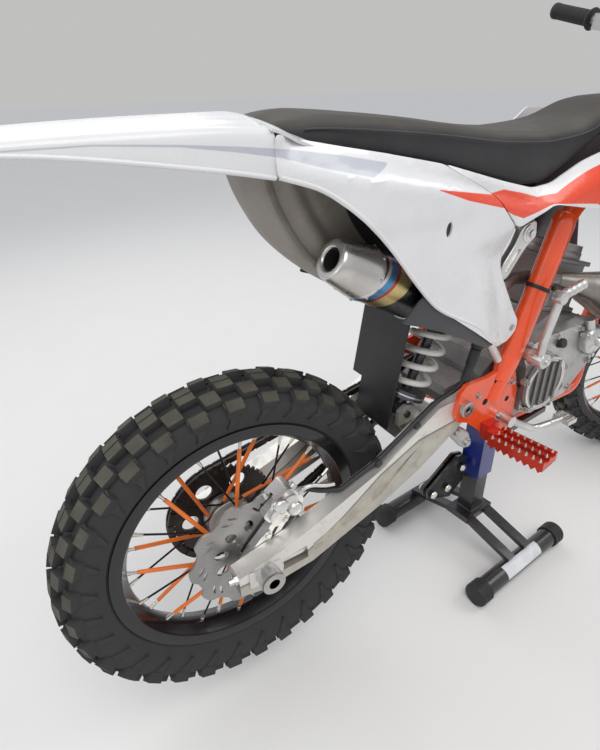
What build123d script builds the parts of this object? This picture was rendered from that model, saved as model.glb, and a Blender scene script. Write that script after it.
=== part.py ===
from build123d import *
import math
import os

# Mini motocross bike on a paddock stand, in millimetres.
# X points forward, Y to the rider's left, Z up; the floor is Z = 0.
# Shapes are written about a floor point under the engine and shifted at the end,
# so that the origin lies under the middle of the whole machine's box.

# Whole machine
wheelbase = 1290.0
floor_gap = 0.65
box_centre_x = 1.0
box_centre_y = 3.5

# Rear wheel
rear_axle_z = 348.0
rear_tyre_r = 294.0
rear_tyre_half_width = 46.0
rear_bead_r = 217.0
rear_lug_pitches = 26
rear_rim_half_width = 27.0
rear_disc_r = 105.0
rear_disc_y = -48.0

# Front wheel
front_axle_z = 311.0
front_tyre_r = 311.0
front_tyre_half_width = 39.0
front_bead_r = 253.0
front_lug_pitches = 28
front_rim_half_width = 21.0
front_disc_r = 120.0
disc_to_fork = 38.0

# Wheel details shared by both wheels
lug_height = 13.0
spoke_count = 32
disc_teeth = 10
rim_depth = 31.0
bead_seat_drop = 14.0
hub_flange_r = 40.0
spoke_r = 1.9
axle_r = 10.0
axle_clearance = 0.6
disc_thickness = 4.0

# Steering
head_angle_from_vertical = 22.0
steering_offset = 33.0
fork_offset = 22.0
rest_steer = -22.0
fork_half_spacing = 88.0
fork_outer_r = 27.0
fork_inner_r = 21.5
fork_foot_width = 46.0
fork_tube_low = 300.0
fork_tube_length = 430.0
head_tube_low = 566.0
head_tube_length = 118.0
head_tube_r = 27.0
down_tube_r = 19.0
stem_r = 16.0
bearing_gap = 0.5
upper_clamp_height = 28.0
lower_clamp_low = 528.0
bar_r = 11.0
bar_forward = 6.0
bar_above_clamp = 33.0

# Swingarm and drive
tyre_to_yoke = 24.0
yoke_reach = 79.0
pivot_x = -248.0
pivot_z = 506.0
arm_inner_y = 70.0
arm_width = 32.0
arm_front_outer_y = 93.5
chain_y = 60.0
chain_pitch = 12.7
sprocket_teeth = 48
drive_teeth = 14
drive_x = -172.0
drive_z = 509.0
sprocket_thickness = 4.4
chain_inner_width = 6.0
chain_plate = 1.6
chain_plate_height = 11.0
chain_link_gap = 4.4
chain_roller_r = 3.6
axle_nut_r = 19.0
axle_nut_end = 128.0
hose_r = 4.5

# Shock
spring_wire_r = 5.2
spring_coil_r = 31.0
spring_pitch = 29.0
perch_gap = 0.3
shock_perch_low = 40.0
shock_perch_high = 259.0

# Frame
spar_r = 15.0
plate_thickness = 8.0
plate_outer_y = 102.0
pivot_bore_r = 9.3
groove_depth = 3.5
pivot_bolt_r = 9.0
pivot_bolt_hollow_r = 6.0
peg_length = 100.0
cradle_r = 12.0
cradle_y = 62.0
cradle_z = 398.0

# Engine
cylinder_lean = math.radians(15)
case_right_y = 78.0
silencer_r = 36.0
lid_x = -50.0
lid_z = 497.0

# Bodywork
panel_thickness = 4.0
panel_corner_r = 6.0
fender_thickness = 3.5
flap_low_z = 470.0
flap_to_tyre = 9.5
seat_half_width = 92.0

# Stand
stand_x = -45.0
stand_y = 4.0
stand_yaw = 5.0
foot_half_track = 145.0
foot_half_length = 120.0
foot_r = 22.0
cap_r = 26.0
cap_length = 34.0
column_side = 40.0
column_low = 96.0
sleeve_side = 50.0
sleeve_low = 200.0
sleeve_high = 345.0
deck_thickness = 12.0
deck_gap = 0.3

arm_outer_y = arm_inner_y + arm_width
rear_axle = Vector(pivot_x - yoke_reach - tyre_to_yoke - rear_tyre_r, 0, rear_axle_z)
front_axle = Vector(rear_axle.X + wheelbase, 0, front_axle_z)
rake = math.radians(head_angle_from_vertical)
steer_up = Vector(-math.sin(rake), 0, math.cos(rake))
steer_forward = Vector(math.cos(rake), 0, math.sin(rake))
steer_point = front_axle - steer_forward * steering_offset
steer_axis = Axis(steer_point, steer_up)
front_disc_y = fork_half_spacing - disc_to_fork
deck_middle = Vector(34, 0, 600)
on_end = (Align.CENTER, Align.CENTER, Align.MIN)
silencer_front = Vector(-322, -86, 706)
silencer_back = Vector(-520, -88, 815)
shock_low = Vector(-328, -22, 492)
shock_high = Vector(-196, -22, 770)
plate_inner_y = plate_outer_y - plate_thickness
sprocket_pitch_r = chain_pitch / (2 * math.sin(math.pi / sprocket_teeth))
drive_pitch_r = chain_pitch / (2 * math.sin(math.pi / drive_teeth))


def fork_point(along, forward=0.0, side=0.0):
    """Point given by its place along, ahead of and beside the steering axis."""
    return steer_point + steer_up * along + steer_forward * forward + Vector(0, side, 0)


def fork_plane(along, forward=0.0, side=0.0):
    """Plane across the steering axis, its X forward and its Z up the fork."""
    return Plane(origin=fork_point(along, forward, side), x_dir=steer_forward, z_dir=steer_up)


upper_clamp_top = head_tube_low + head_tube_length + 3 + upper_clamp_height
bar_middle = fork_point(upper_clamp_top + bar_above_clamp, bar_forward)
down_tube_top = fork_point(head_tube_low + 34, -30)
down_tube_foot = Vector(257, 0, 505)
cradle_top = cradle_z + cradle_r


def tube(route, radius, bends=None):
    """Round bar along straight runs joined by tangent arcs."""
    points = [Vector(*p) if isinstance(p, tuple) else p for p in route]
    if len(points) == 2:
        path = Line(*points)
    else:
        path = FilletPolyline(*points, radius=bends)
    start = Plane(origin=path @ 0, z_dir=path % 0)
    return sweep(start * Circle(radius), path=path)


def rod(start, end, radius):
    """Round bar between two points."""
    return tube([start, end], radius)


def flat_rod(start, end, radius):
    """Four-sided bar between two points, for what repeats often."""
    run = end - start
    plane = Plane(origin=start, z_dir=run.normalized())
    return extrude(plane * RegularPolygon(radius, 4), amount=run.length)


def across(x, z, y_low, y_high, radius):
    """Round bar that lies across the machine."""
    plane = Plane(origin=(x, y_low, z), z_dir=(0, 1, 0))
    return plane * Cylinder(radius, y_high - y_low, align=on_end)


def side_plate(outline, y_low, y_high):
    """Flat plate with a side outline of X, Z points, between two places in Y."""
    plane = Plane(origin=(0, y_low, 0), x_dir=(1, 0, 0), z_dir=(0, -1, 0))
    face = make_face(Polyline(*outline, close=True))
    return extrude(plane * face, amount=-(y_high - y_low))


def rounded_plate(outline, y_low, y_high, corner_r):
    """Flat plate like side_plate, with its corners rounded."""
    plane = Plane(origin=(0, y_low, 0), x_dir=(1, 0, 0), z_dir=(0, -1, 0))
    face = make_face(Polyline(*outline, close=True))
    face = fillet(face.vertices(), corner_r)
    return extrude(plane * face, amount=-(y_high - y_low))


def loft_along(sections, draw):
    """Ruled loft along the machine, its cross-sections drawn from rows of a table that start with X."""
    faces = []
    for x, *sizes in sections:
        plane = Plane(origin=(x, 0, 0), x_dir=(0, 1, 0), z_dir=(1, 0, 0))
        faces.append(plane * draw(*sizes))
    return loft(faces, ruled=True)


def plan_band(points, thickness, bend):
    """Sheet of even thickness that follows X, Y points and stands upright."""
    path = FilletPolyline(*points, radius=bend)
    half = thickness / 2
    face = make_face(offset(path, amount=half, side=Side.BOTH))
    return Pos(0, 0, 300) * extrude(face, amount=900)


def sheet_panel(outline, plan, bend):
    """Body panel: its rounded side outline cut from an upright sheet that follows the plan line."""
    low = min(p[1] for p in plan) - panel_thickness
    high = max(p[1] for p in plan) + panel_thickness
    slab = rounded_plate(outline, low, high, panel_corner_r)
    return slab & plan_band(plan, panel_thickness, bend)


def other_side(part):
    """The same piece on the machine's other side."""
    return mirror(part, about=Plane.XZ)


def both_sides(part):
    """The piece and its mirror image."""
    return part + other_side(part)


def turned(part):
    """A piece of the front end, turned to the steering's rest angle."""
    return part.rotate(steer_axis, rest_steer)


def spin_about_axle(profile):
    """Solid of revolution about the wheel's axle, which lies along Y at the origin."""
    return revolve(Plane.XY * profile, axis=Axis.Y)


# Wheels, drawn about the origin with the axle along Y

def tyre(outer_r, half_width, bead_r, rim_half_width, pitches):
    """Tyre with three rows of lugs, the centre row set between the two at the shoulders."""
    seat_r = bead_r - bead_seat_drop + axle_clearance
    crown_r = outer_r - lug_height
    inside = rim_half_width - 4
    right_half = [
        (seat_r, inside), (bead_r + 2, inside), (bead_r + 5, rim_half_width + 2),
        (bead_r + 24, half_width - 6), (crown_r - 18, half_width - 3), (crown_r, half_width * 0.45),
    ]
    outline = right_half + [(r, -y) for r, y in reversed(right_half)]
    casing = spin_about_axle(make_face(Polyline(*outline, close=True)))
    middle, shoulder = half_width * 0.3, half_width * 0.42
    centre_lug = [(crown_r - 4, -middle), (outer_r, -middle), (outer_r, middle), (crown_r - 4, middle)]
    side_lug = [
        (crown_r - 8, shoulder), (outer_r - 2, shoulder), (outer_r - 14, half_width),
        (crown_r - 26, half_width - 6),
    ]
    arc = 360 / pitches
    lugs = []
    for outline, share, shift in (
        (centre_lug, 0.48, 0.0), (side_lug, 0.52, 0.5), ([(r, -y) for r, y in side_lug], 0.52, 0.5),
    ):
        face = make_face(Polyline(*outline, close=True))
        lug = revolve(Plane.XY * face, axis=Axis.Y, revolution_arc=arc * share)
        for k in range(pitches):
            lugs.append(lug.rotate(Axis.Y, arc * (k + shift - share / 2)))
    return casing + lugs


def rim(bead_r, half_width):
    """Drop-centre rim with its two flanges."""
    seat_r = bead_r - bead_seat_drop
    well_r = seat_r - 9
    right_half = [
        (bead_r - rim_depth, 0), (bead_r - rim_depth, 8), (seat_r - 6, half_width - 3),
        (seat_r - 4, half_width), (bead_r, half_width), (bead_r, half_width - 3),
        (seat_r, half_width - 3.4), (seat_r, 13), (well_r, 9), (well_r, 0),
    ]
    outline = right_half + [(r, -y) for r, y in reversed(right_half[1:-1])]
    return spin_about_axle(make_face(Polyline(*outline, close=True)))


def hub(width, bead_r, disc_y, disc_side_r, other_y, other_r):
    """Hub shell with spoke flanges, end carriers and the laced spokes."""
    flange_y = width - 10
    shell = [
        (axle_r + axle_clearance, -width), (24, -width), (28, -flange_y - 4),
        (hub_flange_r, -flange_y - 2), (hub_flange_r, -flange_y + 3), (24, -flange_y + 8),
        (24, flange_y - 8), (hub_flange_r, flange_y - 3), (hub_flange_r, flange_y + 2),
        (28, flange_y + 4), (24, width), (axle_r + axle_clearance, width),
    ]
    body = spin_about_axle(make_face(Polyline(*shell, close=True)))
    for y, carrier_r in ((disc_y, disc_side_r), (other_y, other_r)):
        inner = width - 2 if y > 0 else -width + 2
        low, high = min(inner, y), max(inner, y)
        carrier = across(0, 0, low, high, carrier_r) - across(0, 0, low - 1, high + 1, 20)
        body += carrier
    rim_r = bead_r - rim_depth - 0.8
    spokes = []
    for k in range(spoke_count):
        side = 1 if k % 2 else -1
        lean = 38 if (k // 2) % 2 else -38
        rim_angle = 360 / spoke_count * (k + 0.5)
        start = Vector(hub_flange_r - 4, 0, 0).rotate(Axis.Y, rim_angle + lean)
        end = Vector(rim_r, 0, 0).rotate(Axis.Y, rim_angle)
        start = Vector(start.X, side * flange_y, start.Z)
        end = Vector(end.X, side * 5, end.Z)
        spokes.append(flat_rod(start, end, spoke_r))
    return body + spokes


def brake_disc(radius, y, inner_r):
    """Wave-edged brake disc on its carrier arms, with windows and slots through the band."""
    half = disc_thickness / 2
    low, high = y - half - 1, y + half + 1
    body = across(0, 0, y - half, y + half, radius)
    body -= across(0, 0, low, high, inner_r)
    cuts = []
    for k in range(disc_teeth):
        angle = 360 / disc_teeth * k
        cuts.append(across(radius + 5, 0, low, high, 9).rotate(Axis.Y, angle))
        cuts.append((Pos(radius - 52, y, 0) * Box(26, disc_thickness + 2, 15)).rotate(Axis.Y, angle))
        slit = Pos(radius - 21, y, 0) * Rot(0, 50, 0) * Box(20, disc_thickness + 2, 5)
        cuts.append(slit.rotate(Axis.Y, angle + 180 / disc_teeth))
    return body - cuts


def to_rear(part):
    """Move a wheel piece to the rear axle."""
    return Pos(*rear_axle) * part


def to_front(part):
    """Move a wheel piece to the front axle and turn it with the steering."""
    return turned(Pos(*front_axle) * part)


def make_rear_tyre():
    sizes = (rear_tyre_r, rear_tyre_half_width, rear_bead_r, rear_rim_half_width, rear_lug_pitches)
    return to_rear(tyre(*sizes))


def make_rear_rim():
    return to_rear(rim(rear_bead_r, rear_rim_half_width))


def make_rear_hub():
    half = disc_thickness / 2
    return to_rear(hub(41, rear_bead_r, rear_disc_y + half + 0.2, 34, chain_y - 2.4, 40))


def make_rear_disc():
    return to_rear(brake_disc(rear_disc_r, rear_disc_y, 22))


def make_rear_sprocket():
    """Toothed ring with six round windows."""
    tip, root = sprocket_pitch_r - 4.2, sprocket_pitch_r - 9.0
    low, high = chain_y - sprocket_thickness / 2, chain_y + sprocket_thickness / 2
    body = side_plate(toothed_ring(0, 0, tip, root, sprocket_teeth), low, high)
    cuts = [across(0, 0, low - 1, high + 1, 32)]
    for k in range(6):
        cuts.append(across(62, 0, low - 1, high + 1, 15).rotate(Axis.Y, 60 * k))
    return to_rear(body - cuts)


def toothed_ring(x, z, tip, root, teeth):
    """Outline of a sprocket's teeth about a centre, as X, Z points."""
    points = []
    for k in range(teeth):
        for shift, radius in ((-0.34, root), (-0.12, tip), (0.12, tip), (0.34, root)):
            angle = 2 * math.pi * (k + shift) / teeth
            points.append((x + radius * math.cos(angle), z + radius * math.sin(angle)))
    return points


def make_drive_sprocket():
    """Small toothed sprocket on the gearbox shaft, with its boss."""
    low, high = chain_y - sprocket_thickness / 2, chain_y + sprocket_thickness / 2
    tip, root = drive_pitch_r - 4.2, drive_pitch_r - 9.0
    body = side_plate(toothed_ring(drive_x, drive_z, tip, root, drive_teeth), low, high)
    return body + across(drive_x, drive_z, 50.3, high + 6, 13)


def make_front_tyre():
    sizes = (front_tyre_r, front_tyre_half_width, front_bead_r, front_rim_half_width, front_lug_pitches)
    return to_front(tyre(*sizes))


def make_front_rim():
    return to_front(rim(front_bead_r, front_rim_half_width))


def make_front_hub():
    half = disc_thickness / 2
    return to_front(hub(35, front_bead_r, front_disc_y - half - 0.2, 34, -37, 26))


def make_front_disc():
    return to_front(brake_disc(front_disc_r, front_disc_y, 22))


# Axles

def make_rear_axle():
    """Axle with its spacers, head and big round nut."""
    body = across(rear_axle.X, rear_axle.Z, -arm_outer_y, arm_outer_y, axle_r)
    for side, end, radius in ((-1, axle_nut_end, axle_nut_r), (1, 112, 17)):
        low, high = sorted((side * 41.6, side * (arm_inner_y - 0.3)))
        body += across(rear_axle.X, rear_axle.Z, low, high, 15)
        low, high = sorted((side * (arm_outer_y + 0.3), side * end))
        body += across(rear_axle.X, rear_axle.Z, low, high, radius)
        low, high = sorted((side * arm_outer_y, side * (arm_outer_y + 0.3)))
        body += across(rear_axle.X, rear_axle.Z, low, high, axle_r)
    return body


def make_front_axle():
    """Hollow front axle through both fork feet."""
    reach = fork_half_spacing + 24
    body = across(front_axle.X, front_axle.Z, -reach, reach, axle_r)
    body -= across(front_axle.X, front_axle.Z, -reach - 1, reach + 1, 6)
    for side in (-1, 1):
        low, high = sorted((side * 38, side * (fork_half_spacing - fork_foot_width / 2 - 2)))
        spacer = across(front_axle.X, front_axle.Z, low, high, 14)
        spacer -= across(front_axle.X, front_axle.Z, low - 1, high + 1, 8)
        body += spacer
    return turned(body)


def make_pivot_bolt():
    """Hollow swingarm pivot bolt through the frame plates, the arms and the cases."""
    reach = plate_outer_y + 3
    bolt = across(pivot_x, pivot_z, -reach, reach, pivot_bolt_r)
    for side in (-1, 1):
        low, high = sorted((side * (plate_outer_y + 0.3), side * (plate_outer_y + 7)))
        bolt += across(pivot_x, pivot_z, low, high, 14)
    return bolt - across(pivot_x, pivot_z, -reach - 10, reach + 10, pivot_bolt_hollow_r)


# Swingarm, chain and shock

def make_swingarm():
    """Two tapered cast arms with their grooves and adjuster windows, the yoke and the shock's bracket."""
    axle_x, axle_z = rear_axle.X, rear_axle.Z
    outline = [
        (pivot_x + 28, pivot_z + 20), (pivot_x - 50, pivot_z + 12), (pivot_x - 172, pivot_z - 61),
        (axle_x + 45, axle_z + 34), (axle_x - 45, axle_z + 12), (axle_x - 45, axle_z - 26),
        (axle_x - 5, axle_z - 36), (axle_x + 85, axle_z - 26), (axle_x + 225, axle_z + 18),
        (pivot_x - 82, pivot_z - 102),
        (pivot_x - 10, pivot_z - 54), (pivot_x + 26, pivot_z - 28),
    ]
    arm = side_plate(outline, -arm_outer_y, -arm_inner_y)
    arm &= arm_plan(0)
    groove = side_plate([
        (pivot_x - 92, pivot_z - 52), (axle_x + 225, axle_z + 64), (axle_x + 86, axle_z + 12),
        (axle_x + 90, axle_z - 6), (axle_x + 225, axle_z + 42),
    ], -arm_outer_y - 1, -arm_inner_y - 10) - arm_plan(groove_depth)
    window = side_plate([
        (axle_x + 30, axle_z + 10), (axle_x + 74, axle_z + 14), (axle_x + 76, axle_z - 12),
        (axle_x + 30, axle_z - 14),
    ], -arm_outer_y - 1, -arm_inner_y - 14)
    arm = arm - groove - window
    bolt_y = -arm_outer_y + 8
    arm += rod(Vector(axle_x + 28, bolt_y, axle_z), Vector(axle_x + 77, bolt_y, axle_z), 4)
    arm -= across(pivot_x, pivot_z, -arm_outer_y - 1, -arm_inner_y + 1, pivot_bore_r)
    for shift in (-14, 0, 14):
        arm -= across(axle_x + shift, axle_z, -arm_outer_y - 1, -arm_inner_y + 1, axle_r + 0.3)
    yoke_outline = [
        (pivot_x - 20, pivot_z - 60), (pivot_x - 24, pivot_z - 14), (pivot_x - 48, pivot_z - 24),
        (pivot_x - yoke_reach + 5, pivot_z - 44), (pivot_x - yoke_reach, pivot_z - 82),
        (pivot_x - 52, pivot_z - 86),
    ]
    yoke = side_plate(yoke_outline, -arm_inner_y, arm_inner_y)
    bracket_outline = [(-286, 470), (-318, 440), (-346, 474), (-346, 500), (-330, 510), (-312, 506)]
    brackets = side_plate(bracket_outline, -46, -38) + side_plate(bracket_outline, -6, 2)
    brackets -= across(shock_low.X, shock_low.Z, -50, 6, 6.3)
    return arm + other_side(arm) + yoke + brackets


def arm_plan(inset):
    """Upright block with the right arm's plan, its outer face moved in by an inset."""
    axle_x = rear_axle.X
    plan = [
        (pivot_x + 60, -arm_inner_y), (pivot_x + 60, inset - arm_front_outer_y),
        (pivot_x - 82, inset - arm_front_outer_y), (axle_x + 85, inset - arm_outer_y),
        (axle_x - 55, inset - arm_outer_y), (axle_x - 55, -arm_inner_y),
    ]
    return extrude(make_face(Polyline(*plan, close=True)), amount=700)


def make_rear_brake_hose():
    """Hose clipped along the top of the right arm, from the caliper to the pedal's cylinder."""
    axle_x, axle_z = rear_axle.X, rear_axle.Z
    lift = hose_r + 1.2
    route = [
        (axle_x + 91, -62, axle_z + 96), (axle_x + 118, -70, axle_z + 84),
        (axle_x + 150, -80, axle_z + 70 + lift),
        (pivot_x - 174, -82, pivot_z - 60 + lift), (pivot_x - 52, -82, pivot_z + 13 + lift),
        (pivot_x + 2, -84, pivot_z + 34), (pivot_x + 12, -86, pivot_z + 52),
    ]
    hose = tube(route, hose_r, [14, 26, 90, 90, 30])
    foot, top = Vector(pivot_x + 9, -86, pivot_z + 44), Vector(pivot_x + 26, -86, pivot_z + 100)
    return hose + rod(foot, top, plate_inner_y - 86 - 0.3)


def chain_loop(grow):
    """Closed line round both sprockets, a distance outside the pitch line, drawn flat."""
    dx, dz = rear_axle.X - drive_x, rear_axle.Z - drive_z
    along = math.atan2(dz, dx)
    lean = math.asin((sprocket_pitch_r - drive_pitch_r) / math.hypot(dx, dz))
    upper, lower = along - math.pi / 2 - lean, along + math.pi / 2 + lean
    drive, rear = (drive_x, drive_z), (rear_axle.X, rear_axle.Z)
    big, small = sprocket_pitch_r + grow, drive_pitch_r + grow
    a, b, c, d, e, f = [
        (centre[0] + radius * math.cos(angle), centre[1] + radius * math.sin(angle))
        for centre, radius, angle in (
            (drive, small, upper), (rear, big, upper), (rear, big, along), (rear, big, lower),
            (drive, small, lower), (drive, small, along + math.pi),
        )
    ]
    return Line(a, b) + ThreePointArc(b, c, d) + Line(d, e) + ThreePointArc(e, f, a)


def make_chain():
    """Endless chain: rollers between two rows of inner plates, with outer plates on every second link."""
    half = chain_plate_height / 2

    def band(outside, inside, half_width):
        ring = make_face(chain_loop(outside)) - make_face(chain_loop(inside))
        plane = Plane(origin=(0, chain_y - half_width, 0), x_dir=(1, 0, 0), z_dir=(0, -1, 0))
        return extrude(plane * ring, amount=-2 * half_width)

    inner_half = chain_inner_width / 2
    outer_half = inner_half + 2 * chain_plate
    chain = band(half, -half, outer_half)
    chain -= band(half + 1, chain_roller_r, inner_half)
    chain -= band(-chain_roller_r, -half - 1, inner_half)
    line = Wire(chain_loop(0).edges())
    pairs = round(line.length / chain_pitch / 2)
    gaps = []
    for k in range(pairs):
        spot, way = line.position_at(k / pairs), line.tangent_at(k / pairs)
        for side in (-1, 1):
            y = chain_y + side * (outer_half - chain_plate / 2 + 0.5)
            plane = Plane(origin=(spot.X, y, spot.Y), x_dir=(way.X, 0, way.Y), z_dir=(0, 1, 0))
            gaps.append(plane * Box(chain_link_gap, chain_plate_height + 4, chain_plate + 1))
    return chain - gaps


def make_shock_body():
    """Damper with its clevis, lower perch, shaft and piggyback reservoir."""
    plane = Plane(origin=shock_low, z_dir=(shock_high - shock_low).normalized())
    body = across(shock_low.X, shock_low.Z, -37.5, -6.5, 15) + across(shock_low.X, shock_low.Z, -50, 6, 6)
    body += plane * Pos(0, 0, 16) * Cylinder(11, 32)
    body += plane * Pos(0, 0, shock_perch_low - 7) * Cylinder(spring_coil_r + spring_wire_r, 14)
    body += plane * Pos(0, 0, 90) * Cylinder(9, 150)
    body += plane * Pos(0, 0, 205) * Cylinder(23, 110)
    body += plane * Pos(0, 0, shock_perch_high + 7) * Cylinder(spring_coil_r + spring_wire_r, 14)
    body += plane * Pos(0, 0, 292) * Cylinder(16, 40)
    return body


def make_shock_spring():
    """Coil spring, its ends ground flat against the shock's two perches."""
    low, high = shock_perch_low + perch_gap, shock_perch_high - perch_gap
    helix = Helix(pitch=spring_pitch, height=high - low, radius=spring_coil_r)
    section = Plane(origin=helix @ 0, z_dir=helix % 0) * RegularPolygon(spring_wire_r, 6)
    wire = sweep(section, path=helix, is_frenet=True)
    between = Pos(0, 0, (high - low) / 2) * Cylinder(spring_coil_r + 2 * spring_wire_r, high - low)
    plane = Plane(origin=shock_low, z_dir=(shock_high - shock_low).normalized())
    return plane * Pos(0, 0, low) * (wire & between)


# Frame

def make_steering_head():
    """Head tube with the down tube that runs to the cradle."""
    head = fork_plane(head_tube_low) * Cylinder(head_tube_r, head_tube_length, align=on_end)
    down = rod(down_tube_top, down_tube_foot, down_tube_r)
    bore = fork_plane(head_tube_low - 1) * Cylinder(stem_r + bearing_gap, head_tube_length + 2, align=on_end)
    return head + down - bore


def make_spar_right():
    """Right main tube with the pivot plate welded to its foot."""
    top = fork_point(head_tube_low + 84, -14, -15.6)
    foot_y = -plate_outer_y + plate_thickness - 3
    spar = tube([top, (-22, -72, 808), (-150, foot_y, 560), (-176, foot_y, 496)], spar_r, [90, 60])
    outline = [
        (-266, 494), (-264, 536), (-250, 550), (-200, 550), (-160, 558), (-126, 540), (-112, 500),
        (-108, 440), (-118, 400), (-150, 394), (-184, 420), (-200, 440), (-236, 470), (-260, 480),
    ]
    plate = side_plate(outline, -plate_outer_y, -plate_outer_y + plate_thickness)
    bore = across(pivot_x, pivot_z, -130, -60, pivot_bolt_r + 0.3)
    head = fork_plane(head_tube_low) * Cylinder(head_tube_r + 0.3, 2 * head_tube_length + 10)
    return spar + plate - bore - head


def make_spar_left():
    return other_side(make_spar_right())


def make_cradle():
    """Lower cradle tubes, joined under the engine and at the down tube's foot."""
    route = [(-160, -82.5, 416), (-120, -cradle_y, cradle_z), (150, -cradle_y, cradle_z), (250, -14, 512)]
    side = tube(route, cradle_r, [20, 60])
    joint = across(120, cradle_z, -cradle_y, cradle_y, cradle_r - 1)
    down_run = (down_tube_foot - down_tube_top).normalized()
    down = rod(down_tube_top, down_tube_foot + down_run * 0.3, down_tube_r + 0.3)
    return side + other_side(side) + joint - down


def make_subframe():
    """Rear subframe rails and stays under the seat, with one bridge behind."""
    rail = tube([(-142, -86, 800), (-300, -86, 856), (-520, -80, 903)], 9, [200])
    stay = tube([(-178, -98, 578), (-330, -96, 790), (-470, -84, 886)], 8, [200])
    bridge = across(-505, 899, -80, 80, 8)
    side = rail + stay + Pos(-505, -50, 895) * Cylinder(8, 34.4, align=on_end)
    side += across(-300, 856, -130.0, -86, 7) + across(-222, 640, -123.2, -98, 7)
    return side + bridge + other_side(side)


# Engine and exhaust

def make_engine_block():
    """Crankcases with the left ignition cover, as one heavy block."""
    rear_deck, front_deck = cylinder_deck(-64), cylinder_deck(60)
    outline = [
        (-196, 470), (-190, 540), (-164, 562), (-100, 584), (rear_deck.X, rear_deck.Z),
        (front_deck.X, front_deck.Z), (124, 540), (124, 480), (90, 424), (20, cradle_top + 0.3),
        (-96, cradle_top + 0.3), (-164, 442),
    ]
    cases = side_plate(outline, -case_right_y, 50)
    lug = [(-190, 484), (-190, 530), (-248, 522), (-262, 514), (-262, 498), (-248, 490)]
    cases += side_plate(lug, -56, 44)
    cases -= across(pivot_x, pivot_z, -60, 60, pivot_bolt_r + 0.3)
    return cases + across(10, 490, 50, 84, 62)


def cylinder_deck(along):
    """Point on the joint between the crankcases and the leaning cylinder."""
    return deck_middle + Vector(math.cos(cylinder_lean), 0, -math.sin(cylinder_lean)) * along


def make_clutch_cover():
    """Right-hand engine cover with the ribbed clutch lid, bolt bosses and the water pump."""
    outline = [
        (-100, 480), (-102, 540), (-114, 562), (-110, 584), (-60, 592), (60, 592), (112, 560), (104, 500),
        (40, 440), (-60, 428), (-100, 446),
    ]
    cover = rounded_plate(outline, -106, -case_right_y - 0.3, 8) + across(-110, 573, -112, -84, 12)
    lid = across(lid_x, lid_z, -116, -106, 56)
    lid = chamfer(lid.edges().sort_by(Axis.Y)[0], 4)
    for shift in (-30, -10, 10, 30):
        lid += Pos(lid_x + shift, -117, lid_z) * Box(7, 5, 84)
    for k in range(5):
        angle = math.radians(18 + 72 * k)
        lid += across(lid_x + 58 * math.cos(angle), lid_z + 58 * math.sin(angle), -115, -106, 7)
    pump = across(72, 556, -122, -106, 28) + rod(Vector(72, -113, 556), Vector(50, -113, 604), 9)
    return cover + lid + pump


def make_cylinder():
    """Cylinder, head, plug and exhaust stub, leaning forward above the cases."""
    plane = Plane(origin=deck_middle, x_dir=(math.cos(cylinder_lean), 0, -math.sin(cylinder_lean)),
                  z_dir=(math.sin(cylinder_lean), 0, math.cos(cylinder_lean)))
    block = Box(104, 104, 100)
    block = fillet(block.edges().filter_by(Axis.Z), 16)
    base = plane * Pos(0, 0, 50.3) * block
    head = plane * Pos(0, 0, 113) * Cylinder(50, 26)
    plug = plane * Pos(0, 0, 140) * Cylinder(9, 30)
    stub = plane * Pos(66, 0, 52) * Rot(0, 90, 0) * Cylinder(24, 36)
    return base + head + plug + stub


def make_kick_lever():
    """Folding kick lever on the right side."""
    arm = tube([(-114, -134, 578), (-116, -136, 610), (-108, -144, 692)], 7, [60])
    boss = across(-110, 573, -142, -112.3, 12)
    tip = rod((-110, -142, 690), (-64, -150, 706), 8)
    return arm + boss + tip


def make_gear_lever():
    """Gear lever on the left side."""
    boss = across(-88, 474, 50.3, 104, 9)
    arm = tube([(-88, 98, 474), (-40, 102, 474), (14, 112, 480)], 6, [40])
    tip = rod((14, 108, 480), (14, 140, 480), 8)
    return boss + arm + tip


def make_exhaust_pipe():
    """Expansion chamber: header, swept belly, tail cone and stinger to the silencer."""
    port = cylinder_deck(84.4) + Vector(math.sin(cylinder_lean), 0, math.cos(cylinder_lean)) * 52
    lead = cylinder_deck(112) - cylinder_deck(84.4) + port
    stations = [
        # X, Y, Z, radius
        (port.X, 0, port.Z, 22), (lead.X, 0, lead.Z, 23), (190, -12, 598, 29), (234, -44, 570, 38),
        (240, -98, 560, 44), (190, -130, 584, 46), (128, -130, 622, 43), (61, -112, 662, 29),
        (-5, -68, 678, 12),
    ]
    body = None
    for start, end in zip(stations[:-1], stations[1:]):
        a, b = Vector(*start[:3]), Vector(*end[:3])
        plane = Plane(origin=a, z_dir=(b - a).normalized())
        piece = plane * Pos(0, 0, (b - a).length / 2) * Cone(start[3], end[3], (b - a).length)
        if end is not stations[-1]:
            piece += Pos(*b) * Sphere(end[3])
        body = piece if body is None else body + piece
    run = (silencer_back - silencer_front).normalized()
    route = [
        (-5, -68, 678), (-60, -50, 688), (-110, -50, 696), (-170, -74, 700), (-258, -74, 688),
        silencer_front - run * 24, silencer_front,
    ]
    tail = tube(route, 11, [40, 40, 40, 60, 30])
    return body + tail


def make_silencer():
    """Silencer under the fender, with its end cap and outlet."""
    run = (silencer_back - silencer_front).normalized()
    length = (silencer_back - silencer_front).length
    plane = Plane(origin=silencer_front, z_dir=run)
    body = plane * Pos(0, 0, 20.3) * Cone(14, silencer_r, 40)
    body += plane * Pos(0, 0, 40) * Cylinder(silencer_r, length - 78, align=on_end)
    body += plane * Pos(0, 0, length - 20) * Cone(silencer_r, 22, 40)
    bore = plane * Pos(0, 0, length - 30) * Cylinder(12, 40, align=on_end)
    return body - bore


def make_radiators():
    """Right and left radiators beside the down tube, finned in front."""
    core = Box(26, 96, 210)
    for k in range(11):
        core += Pos(14, 0, -85 + 17 * k) * Box(4, 84, 5)
    core = Pos(214, -114, 752) * Rot(0, -16, 0) * core
    core += across(189, 850, -66, -57.2, 7) + across(224, 720, -175.6, -161, 8)
    return both_sides(core)


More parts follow.
